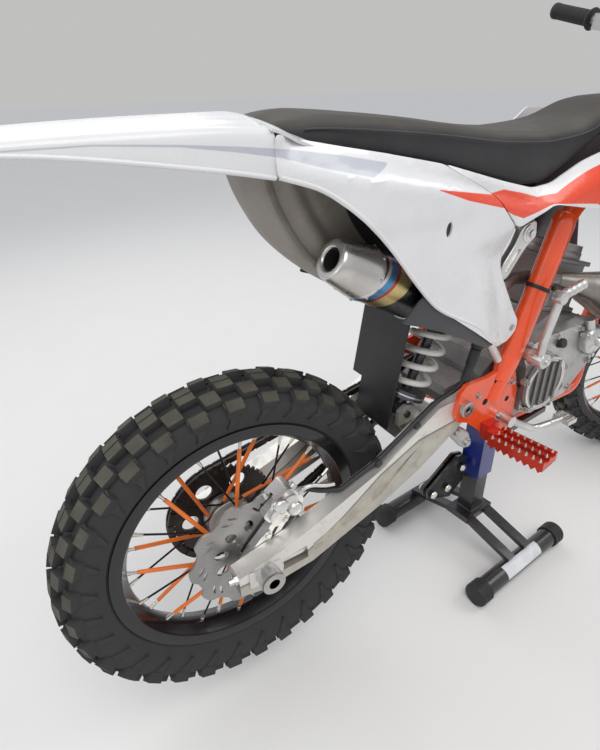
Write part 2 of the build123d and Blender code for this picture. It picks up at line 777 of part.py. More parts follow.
# Bodywork

def make_seat():
    """Long seat, high at the tail, with rounded shoulders, rising again to the tank."""
    sections = [
        # X, half width, top, bottom
        (-560, 72, 964, 962.0),
        (-540, 76, 977, 954.7),
        (-430, 92, 968, 930.0),
        (-346, 92, 958, 912.4),
        (-240, 92, 943, 884.0),
        (-165, 88, 937, 866.0),
        (-120, 84, 935, 866.0),
        (-13, 74, 943, 907.0),
        (60, 63, 968, 924.9),
        (96.3, 56, 977, 933.9),
        (128, 50, 971, 967.3),
    ]

    def section(half, top, bottom):
        lip = min(16, (top - bottom) * 0.6)
        edge, shoulder = top - lip, top - lip * 0.4
        sides = Polyline((half - 10, shoulder), (half, edge), (half - 2, bottom), (-half + 2, bottom),
                         (-half, edge), (-half + 10, shoulder))
        return make_face(sides + ThreePointArc((-half + 10, shoulder), (0, top), (half - 10, shoulder)))

    return loft_along(sections, section)


def make_tank():
    """Fuel tank between the shrouds, with its filler cap."""
    outline = [
        (-120, 824), (-119, 865.4), (-13, 906.5), (96.3, 933.5), (128.7, 967.6), (200, 960), (276, 916),
        (282, 894.6), (170, 868.8), (20, 834.0), (-8, 827), (-40, 824),
    ]
    body = side_plate(outline, -66, 66)
    section = Polyline((-66, 820), (-66, 926), (-40, 975), (40, 975), (66, 926), (66, 820), close=True)
    plane = Plane(origin=(-130, 0, 0), x_dir=(0, 1, 0), z_dir=(1, 0, 0))
    body &= extrude(plane * make_face(section), amount=430)
    cap = Pos(176, 0, 958) * Cylinder(30, 34, align=on_end)
    return body + cap


def make_rear_fender():
    """Long crowned rear fender whose sides turn down ever further, with its tongue under the seat."""
    sections = [
        # X, half width, crown, shoulder, lower edge
        (-905, 58, 966, 962, 956),
        (-880, 72, 974, 967, 958),
        (-760, 86, 977, 968, 946),
        (-680, 97, 977, 968, 932),
        (-604, 110, 975, 966, 905),
    ]

    def section(half, crown, shoulder, edge):
        skin = fender_thickness
        top, under = half - 6, half - 6 - skin
        low = shoulder - skin
        outside = Line((-half, edge), (-top, shoulder))
        outside += ThreePointArc((-top, shoulder), (0, crown), (top, shoulder))
        outside += Polyline((top, shoulder), (half, edge), (half - skin, edge), (under, low))
        inside = ThreePointArc((under, low), (0, crown - skin), (-under, low))
        inside += Polyline((-under, low), (-half + skin, edge), (-half, edge))
        return make_face(outside + inside)

    tongue = side_plate([
        (-604, 971), (-562, 962.0), (-508, 943.7), (-440, 931.6), (-440, 922), (-525, 934), (-566, 946),
        (-604, 952),
    ], -100, 100)
    return loft_along(sections, section) + tongue


side_panel_outline = [
    (-598, 902), (-508, 938), (-451, 928), (-353, 908), (-304, 879), (-231, 814), (-249, 769),
    (-238, 747), (-187, 679), (-163, 645), (-176, 624), (-208, 620), (-248, 646), (-287, 679),
    (-374, 728), (-415, 769), (-469, 833), (-512, 873), (-560, 896),
]
side_panel_plan = [(-604, -119), (-440, -138), (-270, -132), (-150, -118)]
guard_plan = [(x, y + panel_thickness / 2 + 1.55) for x, y in side_panel_plan]


def make_side_panel_right():
    return sheet_panel(side_panel_outline, side_panel_plan, 200)


def make_side_panel_left():
    return other_side(make_side_panel_right())


shroud_outline = [
    (-350, 909), (-302, 881), (-229, 816), (-136, 835), (-27, 814), (60, 772), (150, 700),
    (246, 640), (286, 662), (322, 760), (312, 826), (262, 900), (160, 945), (90, 948), (-13, 903),
    (-125, 860), (-168, 858), (-236, 875),
]
shroud_plan = [(-360, -135), (-236, -131), (-60, -114), (90, -148), (200, -178), (330, -178)]


def make_shroud_right():
    return sheet_panel(shroud_outline, shroud_plan, 120)


def make_shroud_left():
    return other_side(make_shroud_right())


def make_airbox():
    """Airbox under the seat: the box on the left and its back wall across the machine."""
    box = side_plate([(-250, 664), (-236, 760), (-250, 836), (-400, 866), (-400, 700), (-330, 672)], 22, 76.3)
    wall = [(-345, 690), (-345, 862), (-474, 884), (-500, 850), (-440, 762), (-388, 706)]
    back = side_plate(wall, -46, 76.3)
    return box + back


def make_mudflap():
    """Black flap that keeps the rear wheel's dirt off the shock, notched for the chain."""
    rise = flap_low_z - rear_axle.Z
    low_x = rear_axle.X + math.sqrt(rear_tyre_r ** 2 - rise ** 2) + flap_to_tyre
    slab = side_plate([(-333, 671.6), (-329, 671.6), (low_x + 4, flap_low_z), (low_x, flap_low_z)], -40, 74)
    notch = side_plate([(-300, 420), (-300, 534), (-390, 534), (-390, 420)], chain_y - 12, 80)
    return slab - notch


def make_panel_guards():
    """Dark guards behind the side panels' lower edges, over the silencer and the airbox."""
    outline = [
        (-452, 835), (-400, 775), (-360, 738), (-280, 692), (-238, 656), (-238, 628),
        (-340, 672), (-430, 721), (-484, 768), (-488, 826),
    ]
    guard = side_plate(outline, -146, -100) & plan_band(guard_plan, 2.5, 150)
    return both_sides(guard)


# Controls at the frame

def make_footpegs():
    """Footpegs with saw-toothed rails, each on its bracket."""
    teeth = 8
    step = peg_length / teeth
    edge = [(k * step + shift, rise) for k in range(teeth) for shift, rise in ((0, 6), (step * 0.5, 14))]
    rail_face = make_face(Polyline(*edge, (peg_length, 6), (peg_length, -10), (0, -10), close=True))
    across_plane = Plane(origin=(0, 0, 0), x_dir=(0, -1, 0), z_dir=(1, 0, 0))
    ring = None
    for x in (-23, -3, 17):
        rail = Pos(x, -6, 0) * extrude(across_plane * rail_face, amount=6)
        ring = rail if ring is None else ring + rail
    ring += Pos(0, -8, -2) * Box(46, 8, 14)
    ring += Pos(0, -6 - peg_length + 4, -2) * Box(46, 8, 14)
    ring += Pos(0, -2, 0) * Box(24, 24, 20)
    peg = Pos(-190, -126, 441) * Rot(0, 0, 9) * ring
    seat_align = (Align.CENTER, Align.MAX, Align.CENTER)
    bracket = Pos(-182, -plate_outer_y - 0.3, 441) * Box(30, 16, 30, align=seat_align)
    return both_sides(peg + bracket)


def make_brake_pedal():
    """Rear brake pedal on the right side."""
    lever = tube([(-140, -116, 448), (-68, -126, 405), (-40, -140, 416), (-8, -142, 415)], 7, [30, 20])
    boss = across(-140, 448, -126, -plate_outer_y - 0.3, 11)
    tip = Pos(-2, -144, 416) * Box(26, 34, 10)
    return lever + boss + tip


def make_rear_caliper():
    """Rear brake caliper with two piston bosses, on a two-armed bracket over the axle."""
    axle_x, axle_z = rear_axle.X, rear_axle.Z
    block = Box(64, 36, 46)
    block = fillet(block.edges().filter_by(Axis.Y), 10)
    for shift in (-15, 15):
        block += Pos(shift, -20, 6) * Rot(90, 0, 0) * Cylinder(13, 12)
    block += Pos(30, -6, 8) * Rot(0, 90, 0) * Cylinder(7, 16)
    body = Pos(axle_x + 55, rear_disc_y - 1, axle_z + 76) * Rot(0, -35, 0) * block
    half = disc_thickness / 2 + 1.5
    slot = across(rear_axle.X, rear_axle.Z, rear_disc_y - half, rear_disc_y + half, rear_disc_r + 1.5)
    outline = [
        (axle_x - 23, axle_z), (axle_x - 5, axle_z + 22), (axle_x + 35, axle_z + 62),
        (axle_x + 59, axle_z + 52), (axle_x + 27, axle_z + 12), (axle_x + 17, axle_z - 12),
        (axle_x - 5, axle_z - 22),
    ]
    arm = side_plate(outline, -arm_inner_y + 1, rear_disc_y - 6)
    window = [
        (axle_x + 18, axle_z + 24), (axle_x + 37, axle_z + 49), (axle_x + 43, axle_z + 46),
        (axle_x + 25, axle_z + 22),
    ]
    arm -= side_plate(window, -arm_inner_y - 1, rear_disc_y - 4)
    arm -= across(axle_x, axle_z, -arm_inner_y - 5, rear_disc_y - 2, 15.6)
    return (body - slot) + arm


# Front end, drawn straight ahead

def make_triple_clamps():
    """Lower and upper clamps with the stem through the head tube."""
    body = fork_plane(head_tube_low - 34) * Cylinder(stem_r, head_tube_length + 66, align=on_end)
    for along, height in ((lower_clamp_low, 36), (upper_clamp_top - upper_clamp_height, upper_clamp_height)):
        plate = fork_plane(along) * Pos(8, 0, height / 2) * Box(56, 2 * fork_half_spacing, height)
        for side in (-1, 1):
            leg_plane = fork_plane(along, fork_offset, side * fork_half_spacing) * Pos(0, 0, height / 2)
            lug = leg_plane * Cylinder(fork_outer_r + 9, height)
            hole = leg_plane * Cylinder(fork_outer_r + 0.3, height + 2)
            plate = plate + lug - hole
        body += plate
    return turned(body)


def make_fork_tubes():
    """Upper fork tubes."""
    body = None
    for side in (-1, 1):
        plane = fork_plane(fork_tube_low, fork_offset, side * fork_half_spacing)
        leg = plane * Cylinder(fork_outer_r, fork_tube_length, align=on_end)
        body = leg if body is None else body + leg
    return turned(body)


def make_fork_legs():
    """Chromed inner tubes with the cast feet that hold the axle."""
    body = None
    for side in (-1, 1):
        plane = fork_plane(24, fork_offset, side * fork_half_spacing)
        leg = plane * Cylinder(fork_inner_r, fork_tube_low - 24.3, align=on_end)
        foot = fork_plane(11, fork_offset + 2, side * fork_half_spacing) * Box(56, fork_foot_width, 90)
        leg += foot
        if side > 0:
            leg += fork_plane(70) * Pos(-30, fork_half_spacing - 17.7, 0) * Box(76, 8, 50)
        middle = side * fork_half_spacing
        leg -= across(front_axle.X, front_axle.Z, middle - 40, middle + 40, axle_r + 0.3)
        body = leg if body is None else body + leg
    return turned(body)


def bar_point(back, side, rise):
    """Point on the handlebar, from its middle between the clamps."""
    return bar_middle + Vector(-back, side, rise)


def make_handlebar():
    """Tapered handlebar with its clamps."""
    route = [bar_point(54, -372, 80), bar_point(10, -150, 62), bar_point(0, -60, 0)]
    route += [Vector(p.X, -p.Y, p.Z) for p in reversed(route)]
    bar = tube(route, bar_r, [60, 50, 50, 60])
    for side in (-1, 1):
        foot = fork_point(upper_clamp_top + 0.3, bar_forward, side * 32)
        bar += rod(foot, foot + steer_up * (bar_above_clamp + 14), 15)
    return turned(bar)


def grip_line(side):
    """End of the bar and the direction inwards along its grip."""
    end, bend = bar_point(54, side * 372, 80), bar_point(10, side * 150, 62)
    return end, (bend - end).normalized()


def make_grips():
    """Rubber grips near the bar's ends."""
    body = None
    for side in (-1, 1):
        end, run = grip_line(side)
        plane = Plane(origin=end - run * 3, z_dir=run)
        grip = plane * Cylinder(16, 120, align=on_end)
        grip -= plane * Pos(0, 0, 2.7) * Cylinder(bar_r + 0.3, 125, align=on_end)
        body = grip if body is None else body + grip
    return turned(body)


def make_levers():
    """Clutch and brake levers with their perches."""
    body = None
    for side in (-1, 1):
        end, run = grip_line(side)
        seat = end + run * 150
        perch = Pos(seat.X + 4, seat.Y, seat.Z) * Box(46, 32, 30)
        hinge, bend = seat + Vector(32, 0, 0), seat + Vector(34, side * 40, -2)
        blade = tube([hinge, bend, end + run * 18 + Vector(34, 0, 0)], 6, [60])
        piece = perch + blade - rod(end - run * 5, end + run * 240, bar_r + 0.3)
        body = piece if body is None else body + piece
    return turned(body)


def make_number_plate():
    """Front number plate ahead of the bar."""
    outline = [(-70, 0), (70, 0), (104, 110), (88, 236), (-88, 236), (-104, 110)]
    face = make_face(Polyline(*[(x, z) for x, z in outline], close=True))
    origin = fork_point(600, fork_offset + fork_outer_r + 9.3)
    plane = Plane(origin=origin, x_dir=(0, 1, 0), z_dir=steer_forward)
    return turned(extrude(plane * face, amount=5))


def make_front_fender():
    """Front fender under the lower clamp, crowned and high over the wheel."""
    seat_rear, seat_front = fork_point(lower_clamp_low - 0.3, -22), fork_point(lower_clamp_low - 0.3, 40)
    axle_x = front_axle.X
    sections = [
        # X, half width, crown, shoulder
        (seat_rear.X, 48, seat_rear.Z, seat_rear.Z - 1),
        (seat_front.X, 60, seat_front.Z, seat_front.Z - 2),
        (axle_x - 60, 84, 824, 806),
        (axle_x + 55, 88, 817, 798),
        (axle_x + 205, 66, 779, 764),
        (axle_x + 280, 36, 728, 720),
    ]

    def section(half, crown, shoulder):
        skin = fender_thickness + 2
        outer = ThreePointArc((-half, shoulder), (0, crown), (half, shoulder))
        inner = ThreePointArc((half - 3, shoulder - skin), (0, crown - skin), (-half + 3, shoulder - skin))
        return make_face(outer + Line((half, shoulder), (half - 3, shoulder - skin)) + inner
                         + Line((-half + 3, shoulder - skin), (-half, shoulder)))

    return turned(loft_along(sections, section))


def make_fork_guards():
    """Guards in front of the lower fork legs."""
    body = None
    for side in (-1, 1):
        guard = fork_plane(70) * Pos(fork_offset + 30, side * fork_half_spacing, 130) * Box(5, 66, 250)
        body = guard if body is None else body + guard
    return turned(body)


def make_front_caliper():
    """Front brake caliper behind the left fork foot, with two piston bosses."""
    centre = fork_point(70, -58)
    block = Box(52, 34, 74)
    block = fillet(block.edges().filter_by(Axis.Y), 10)
    for shift in (-17, 17):
        block += Pos(0, -18, shift) * Rot(90, 0, 0) * Cylinder(13, 8)
    body = Pos(centre.X, front_disc_y - 1, centre.Z) * Rot(0, -head_angle_from_vertical, 0) * block
    half = disc_thickness / 2 + 1.5
    slot = across(front_axle.X, front_axle.Z, front_disc_y - half, front_disc_y + half, front_disc_r + 1.5)
    return turned(body - slot)


# Stand

def on_stand(part):
    """Move a stand piece, drawn about its own middle, under the machine."""
    return Pos(stand_x, stand_y, 0) * Rot(0, 0, stand_yaw) * part


def foot_bar(side, radius, half_length):
    plane = Plane(origin=(-half_length, side * foot_half_track, cap_r), z_dir=(1, 0, 0))
    return plane * Cylinder(radius, 2 * half_length, align=on_end)


def make_stand_feet():
    """Two round foot bars along the machine."""
    return on_stand(foot_bar(-1, foot_r, foot_half_length) + foot_bar(1, foot_r, foot_half_length))


def make_stand_caps():
    """Rubber end caps, which carry the stand on the floor."""
    body = None
    for side in (-1, 1):
        for end in (-1, 1):
            origin = (end * (foot_half_length + 0.2), side * foot_half_track, cap_r)
            plane = Plane(origin=origin, z_dir=(end, 0, 0))
            cap = plane * Cylinder(cap_r, cap_length, align=on_end)
            body = cap if body is None else body + cap
    return on_stand(body)


def make_stand_legs():
    """Pairs of sloping flat arms from the column to each foot bar, and the lifting linkage."""
    body = Pos(0, 0, column_low - 8.3) * Box(90, 60, 16)
    arm_thickness = 12
    for side in (-1, 1):
        for shift in (-30, 30):
            start = Vector(shift, side * 20, column_low - 10)
            end = Vector(shift, side * foot_half_track, cap_r + foot_r + arm_thickness / 2 + 0.4)
            run = end - start
            plane = Plane(origin=start, x_dir=(1, 0, 0), z_dir=run.normalized())
            body += extrude(plane * Rectangle(22, arm_thickness), amount=run.length)
    link = [(-25.6, 250), (-60, 262), (-150, 206), (-146, 184), (-70, 150), (-25.6, 180)]
    plates = rounded_plate(link, 26, 32, 5) + rounded_plate(link, 12, 18, 5)
    pins = across(-42, 226, 6, 38, 7) + across(-88, 190, 6, 38, 7) + across(-136, 196, 6, 38, 7)
    return on_stand(body + plates + pins)


def make_stand_column():
    """Square column with the deck that the cradle rests on."""
    deck_top = cradle_z - cradle_r - deck_gap
    height = deck_top - deck_thickness - column_low
    column = Pos(0, 0, column_low) * Box(column_side, column_side, height, align=on_end)
    deck = Pos(10, 0, deck_top - deck_thickness) * Box(150, 170, deck_thickness, align=on_end)
    return on_stand(column + deck)


def make_stand_sleeve():
    """Blue square sleeve round the column."""
    height = sleeve_high - sleeve_low
    outer = Pos(0, 0, sleeve_low) * Box(sleeve_side, sleeve_side, height, align=on_end)
    inner = Pos(0, 0, sleeve_low - 1) * Box(column_side + 0.6, column_side + 0.6, height + 2, align=on_end)
    return on_stand(outer - inner)


pieces = {
    "steering_head": make_steering_head,
    "spar_right": make_spar_right,
    "spar_left": make_spar_left,
    "cradle": make_cradle,
    "subframe": make_subframe,
    "swingarm": make_swingarm,
    "rear_axle": make_rear_axle,
    "pivot_bolt": make_pivot_bolt,
    "chain": make_chain,
    "drive_sprocket": make_drive_sprocket,
    "shock_body": make_shock_body,
    "shock_spring": make_shock_spring,
    "engine_block": make_engine_block,
    "clutch_cover": make_clutch_cover,
    "cylinder": make_cylinder,
    "kick_lever": make_kick_lever,
    "gear_lever": make_gear_lever,
    "exhaust_pipe": make_exhaust_pipe,
    "silencer": make_silencer,
    "radiators": make_radiators,
    "airbox": make_airbox,
    "mudflap": make_mudflap,
    "panel_guards": make_panel_guards,
    "rear_fender": make_rear_fender,
    "side_panel_right": make_side_panel_right,
    "side_panel_left": make_side_panel_left,
    "seat": make_seat,
    "tank": make_tank,
    "shroud_right": make_shroud_right,
    "shroud_left": make_shroud_left,
    "footpegs": make_footpegs,
    "brake_pedal": make_brake_pedal,
    "rear_caliper": make_rear_caliper,
    "rear_brake_hose": make_rear_brake_hose,
    "stand_feet": make_stand_feet,
    "stand_caps": make_stand_caps,
    "stand_legs": make_stand_legs,
    "stand_column": make_stand_column,
    "stand_sleeve": make_stand_sleeve,
    "triple_clamps": make_triple_clamps,
    "fork_tubes": make_fork_tubes,
    "fork_legs": make_fork_legs,
    "front_axle": make_front_axle,
    "handlebar": make_handlebar,
    "grips": make_grips,
    "levers": make_levers,
    "number_plate": make_number_plate,
    "front_fender": make_front_fender,
    "fork_guards": make_fork_guards,
    "front_caliper": make_front_caliper,
    "front_tyre": make_front_tyre,
    "front_rim": make_front_rim,
    "front_hub": make_front_hub,
    "front_disc": make_front_disc,
    "rear_tyre": make_rear_tyre,
    "rear_rim": make_rear_rim,
    "rear_hub": make_rear_hub,
    "rear_disc": make_rear_disc,
    "rear_sprocket": make_rear_sprocket,
}

os.makedirs("parts", exist_ok=True)
for name, make in pieces.items():
    placed = Pos(-box_centre_x, -box_centre_y, floor_gap) * make()
    export_step(placed, f"parts/{name}.step")
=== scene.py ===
"""Mini motocross bike on its paddock stand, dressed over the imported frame.

Shapes are written in millimetres about the floor point midway between the axles, as a maker would
measure the machine, and turned into metres in the frame's own place by the bench.
"""
import logging
import math
from dataclasses import dataclass
from dataclasses import field
from enum import Enum
from typing import Callable
from typing import Sequence

import bpy
from mathutils import Matrix
from mathutils import Vector

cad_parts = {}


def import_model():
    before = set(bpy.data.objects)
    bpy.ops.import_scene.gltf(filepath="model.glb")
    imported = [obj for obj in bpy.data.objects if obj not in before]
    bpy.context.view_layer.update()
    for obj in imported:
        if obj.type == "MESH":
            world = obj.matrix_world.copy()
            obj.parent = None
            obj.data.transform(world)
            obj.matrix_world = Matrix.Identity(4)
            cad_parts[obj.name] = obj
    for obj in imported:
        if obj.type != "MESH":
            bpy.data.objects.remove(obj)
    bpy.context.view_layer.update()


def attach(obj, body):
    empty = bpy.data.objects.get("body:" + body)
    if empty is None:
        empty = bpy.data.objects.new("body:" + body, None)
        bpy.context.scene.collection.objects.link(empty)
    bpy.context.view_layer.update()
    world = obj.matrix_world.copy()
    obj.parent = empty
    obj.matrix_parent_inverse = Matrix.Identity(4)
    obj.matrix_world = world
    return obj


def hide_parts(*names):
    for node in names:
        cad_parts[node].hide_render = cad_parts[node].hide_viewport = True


log = logging.getLogger("bike")

Point = tuple[float, float, float]
Flat = tuple[float, float]
Colour = tuple[float, float, float]
Piece = bpy.types.Object

RIGHTWARD = (0, -1, 0)
LEFTWARD = (0, 1, 0)
FULL_TURN = 2 * math.pi
ORIGIN = Vector((-1, -3.5, 0.65))
REAR_AXLE = Vector((-645, 0, 348))
FRONT_AXLE = Vector((645, 0, 311))
RAKE = math.radians(22)
STEER_UP = Vector((-math.sin(RAKE), 0, math.cos(RAKE)))
STEER_FORWARD = Vector((math.cos(RAKE), 0, math.sin(RAKE)))
STEER_POINT = FRONT_AXLE - STEER_FORWARD * 33
REST_STEER = math.radians(-22)
FORK_SPACING = 88
LID = (-50, 497)
LID_RADIUS = 57
PUMP = (72, 556)
KICK_PIVOT = (-110, 573)
SEAT_GAP_Y = 95


def at(place: Point | Vector) -> Matrix:
    """Move from the origin to a place."""
    return Matrix.Translation(place)


def turned(degrees: float, axis: str) -> Matrix:
    """Turn about one axis through the origin."""
    return Matrix.Rotation(math.radians(degrees), 4, axis)


def to_frame() -> Matrix:
    """Millimetres about the bike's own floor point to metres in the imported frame."""
    return Matrix.Scale(0.001, 4) @ at(ORIGIN)


def steered() -> Matrix:
    """Turn of the front end about the steering axis, from straight ahead to its rest angle."""
    away = at(STEER_POINT)
    return away @ Matrix.Rotation(REST_STEER, 4, STEER_UP) @ away.inverted()


def fork_point(along: float, forward: float = 0, side: float = 0) -> Vector:
    """Point by its place along, ahead of and beside the steering axis.

    Args:
        along: Distance up the axis from beside the front axle.
        forward: Distance ahead of the axis.
        side: Distance to the rider's left.

    Returns:
        The point, in millimetres.
    """
    return STEER_POINT + STEER_UP * along + STEER_FORWARD * forward + Vector((0, side, 0))


def fork_frame(along: float, forward: float = 0, side: float = 0) -> Matrix:
    """Matrix whose X is forward, Y left and Z up the fork, at a point on it."""
    turn = Matrix.Rotation(-RAKE, 4, "Y")
    return at(fork_point(along, forward, side)) @ turn


class Body(str, Enum):
    """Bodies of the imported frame."""

    CHASSIS = "chassis"
    FRONT_END = "front_end"
    FRONT_WHEEL = "front_wheel"
    REAR_WHEEL = "rear_wheel"


# Materials


class Value:
    """A shader socket that adds Math nodes where it is used in an expression."""

    def __init__(self, tree: "Nodes", socket: bpy.types.NodeSocket) -> None:
        """Keep the socket and the tree that new nodes go to."""
        self.tree = tree
        self.socket = socket

    def math(self, operation: str, *operands: "Value | float") -> "Value":
        """Add one Math node.

        Args:
            operation: Blender's name of the operation.
            operands: Its inputs in order.

        Returns:
            The node's result.
        """
        return self.tree.node("ShaderNodeMath", {"operation": operation}, dict(enumerate(operands)))

    def __add__(self, other: "Value | float") -> "Value":
        """Sum."""
        return self.math("ADD", self, other)

    __radd__ = __add__

    def __sub__(self, other: "Value | float") -> "Value":
        """Difference."""
        return self.math("SUBTRACT", self, other)

    def __rsub__(self, other: "Value | float") -> "Value":
        """Difference from a number."""
        return self.math("SUBTRACT", other, self)

    def __mul__(self, other: "Value | float") -> "Value":
        """Product."""
        return self.math("MULTIPLY", self, other)

    __rmul__ = __mul__

    def step(self, low: float, high: float) -> "Value":
        """Smooth rise from 0 at low to 1 at high."""
        settings = {"interpolation_type": "SMOOTHSTEP"}
        return self.tree.node("ShaderNodeMapRange", settings,
                              {"Value": self, "From Min": low, "From Max": high})


class Nodes:
    """One material's node tree."""

    def __init__(self, name: str) -> None:
        """Start an empty node material of that name."""
        self.material = bpy.data.materials.new(name)
        self.material.use_nodes = True
        self.tree = self.material.node_tree
        self.shader = self.tree.nodes["Principled BSDF"]

    def node(self, kind: str, settings: dict | None = None, inputs: dict | None = None,
             output: int | str = 0) -> Value:
        """Add a node.

        Args:
            kind: Its type.
            settings: Its own settings, or the stops of a ramp.
            inputs: Values or links for its sockets, by name or number.
            output: The output that is wanted.

        Returns:
            That output.
        """
        made = self.tree.nodes.new(kind)
        for key, setting in (settings or {}).items():
            if key == "stops":
                self._stops(made.color_ramp, setting)
            else:
                setattr(made, key, setting)
        for key, value in (inputs or {}).items():
            self.feed(made.inputs[key], value)
        return Value(self, made.outputs[output])

    @staticmethod
    def _stops(ramp: bpy.types.ColorRamp, stops: Sequence[tuple[float, Colour]]) -> None:
        """Give a colour ramp its stops."""
        ramp.elements.remove(ramp.elements[1])
        ramp.elements[0].position = stops[0][0]
        ramp.elements[0].color = (*stops[0][1], 1)
        for place, colour in stops[1:]:
            ramp.elements.new(place).color = (*colour, 1)

    def feed(self, socket: bpy.types.NodeSocket, value: object) -> None:
        """Link or set one socket."""
        if isinstance(value, Value):
            self.tree.links.new(value.socket, socket)
        elif isinstance(value, tuple) and len(value) == 3 and len(socket.default_value) == 4:
            socket.default_value = (*value, 1)
        else:
            socket.default_value = value

    def mix(self, share: "Value | float", first: "Value | Colour", second: "Value | Colour") -> Value:
        """Blend two colours by a share."""
        return self.node("ShaderNodeMix", {"data_type": "RGBA"}, {0: share, 6: first, 7: second}, 2)

    def place(self, stretch: Point = (1, 1, 1), turn: Point = (0, 0, 0),
              centre: Point = (0, 0, 0)) -> Value:
        """Object coordinates, moved to a centre, turned and stretched."""
        spot = self.node("ShaderNodeTexCoord", output="Object")
        moved = self.node("ShaderNodeVectorMath", {"operation": "SUBTRACT"}, {0: spot, 1: centre})
        return self.node("ShaderNodeMapping", {}, {"Vector": moved, "Rotation": turn, "Scale": stretch})

    def noise(self, vector: Value, scale: float, detail: float = 4, rough: float = 0.55) -> Value:
        """Noise texture's strength."""
        return self.node("ShaderNodeTexNoise", {}, {"Vector": vector, "Scale": scale, "Detail": detail,
                                                    "Roughness": rough})

    def axes(self, vector: Value) -> tuple[Value, Value, Value]:
        """A vector's three numbers."""
        split = self.node("ShaderNodeSeparateXYZ", {}, {0: vector})
        owner = split.socket.node
        return split, Value(self, owner.outputs[1]), Value(self, owner.outputs[2])

    def machine(self) -> tuple[Value, Value, Value]:
        """Where the shaded point is, in the machine's own millimetres."""
        x, y, z = self.axes(self.node("ShaderNodeTexCoord", output="Object"))
        return x * 1000 - ORIGIN.x, y * 1000 - ORIGIN.y, z * 1000 - ORIGIN.z

    def line(self, along: Value, points: Sequence[Flat]) -> Value:
        """Height of a line through points, at a place along it.

        Args:
            along: The place.
            points: Place and height of each point, in rising order.

        Returns:
            The height.
        """
        low, high = points[0][0], points[-1][0]
        bottom, top = min(p[1] for p in points), max(p[1] for p in points) + 0.001
        share = self.node("ShaderNodeMapRange", {}, {"Value": along, "From Min": low, "From Max": high})
        stops = []
        for place, height in points:
            grey = (height - bottom) / (top - bottom)
            stops.append(((place - low) / (high - low), (grey, grey, grey)))
        ramp = self.node("ShaderNodeValToRGB", {"stops": stops}, {"Fac": share})
        return ramp * (top - bottom) + bottom

    def bump(self, height: Value, strength: float, distance: float = 0.001,
             under: Value | None = None) -> Value:
        """Bump from a height."""
        inputs: dict = {"Height": height, "Strength": strength, "Distance": distance}
        if under is not None:
            inputs["Normal"] = under
        return self.node("ShaderNodeBump", {}, inputs)

    def surface(self, **sockets: object) -> bpy.types.Material:
        """Feed the shader's sockets, given with underscores for spaces.

        Returns:
            The finished material.
        """
        for key, value in sockets.items():
            self.feed(self.shader.inputs[key.replace("_", " ").title().replace("Ior", "IOR")], value)
        return self.material


@dataclass(frozen=True)
class Finish:
    """A painted, cast, moulded or bare surface with its grain, mottle and dirt."""

    name: str
    colour: Colour
    rough: float = 0.5
    metal: float = 0
    coat: float = 0
    shade: float = 0.82
    mottle: float = 14
    grain: float = 0.12
    grain_scale: float = 500
    dirt: float = 0
    dirt_colour: Colour = (0.20, 0.17, 0.13)
    stretch: Point = (1, 1, 1)

    def base(self, nodes: Nodes) -> Value:
        """The clean colour. Subclasses put their pattern here."""
        vector = nodes.place(self.stretch)
        broad = nodes.noise(vector, self.mottle)
        darker = tuple(c * self.shade for c in self.colour)
        return nodes.mix(broad.step(0.35, 0.65), self.colour, darker)

    def relief(self, nodes: Nodes) -> Value:
        """The surface's fine relief."""
        return nodes.bump(nodes.noise(nodes.place(self.stretch), self.grain_scale, 3), self.grain, 0.0006)

    def build(self) -> bpy.types.Material:
        """Make the material once; later calls return the same one."""
        found = bpy.data.materials.get(self.name)
        if found is not None:
            return found
        nodes = Nodes(self.name)
        vector = nodes.place(self.stretch)
        cloud = nodes.noise(vector, 38, 6, 0.65)
        soil = cloud.step(0.5, 0.72) * self.dirt
        colour = nodes.mix(soil, self.base(nodes), self.dirt_colour)
        wander = (cloud - 0.5) * 0.25 + self.rough
        return nodes.surface(base_color=colour, roughness=wander + soil * 0.3,
                             metallic=(1 - soil) * self.metal,
                             coat_weight=self.coat, normal=self.relief(nodes))


WHITE = (0.70, 0.70, 0.705)
WHITE_DUST = (0.45, 0.44, 0.42)

STEEL = Finish("plain_steel", (0.50, 0.49, 0.47), 0.32, 1, grain=0.08, dirt=0.25)
DARK_STEEL = Finish("oiled_chain_steel", (0.055, 0.05, 0.047), 0.38, 0.8, grain=0.2, dirt=0.3)
CAST = Finish("blasted_cast_aluminium", (0.60, 0.58, 0.54), 0.42, 0.85, shade=0.78, grain=0.25,
              grain_scale=900, dirt=0.25)
BRIGHT_CAST = Finish("bright_cast_aluminium", (0.74, 0.73, 0.71), 0.3, 0.9, grain=0.1, dirt=0.15)
RIM_BLACK = Finish("gloss_black_rim", (0.006, 0.006, 0.009), 0.22, 0, 0.12, grain=0.02, dirt=0.06,
                   dirt_colour=(0.03, 0.028, 0.026))
SPOKE_BLACK = Finish("black_spoke", (0.012, 0.012, 0.012), 0.3, 0.5)
SPOKE_ORANGE = Finish("orange_spoke_cover", (0.86, 0.19, 0.02), 0.36, grain=0.05)
NIPPLE = Finish("plated_nipple", (0.78, 0.74, 0.66), 0.24, 0.9)
DISC_GREY = Finish("ground_disc_steel", (0.36, 0.355, 0.35), 0.34, 0.9, grain=0.1, grain_scale=700,
                   dirt=0.12)
TYRE = Finish("tyre_rubber", (0.016, 0.016, 0.018), 0.62, shade=0.7, grain=0.3, grain_scale=300, dirt=0.35,
              dirt_colour=(0.075, 0.07, 0.062))
RUBBER = Finish("black_rubber", (0.014, 0.014, 0.015), 0.6, grain=0.25, dirt=0.25,
                dirt_colour=(0.06, 0.058, 0.055))
ORANGE_PAINT = Finish("orange_frame_paint", (0.86, 0.085, 0.014), 0.24, 0, 0.6, shade=0.86, grain=0.08,
                      grain_scale=220, dirt=0.06)
WHITE_PLASTIC = Finish("white_moulded_plastic", WHITE, 0.3, 0, 0.25, shade=0.95, grain=0.04, dirt=0.05,
                       dirt_colour=WHITE_DUST)
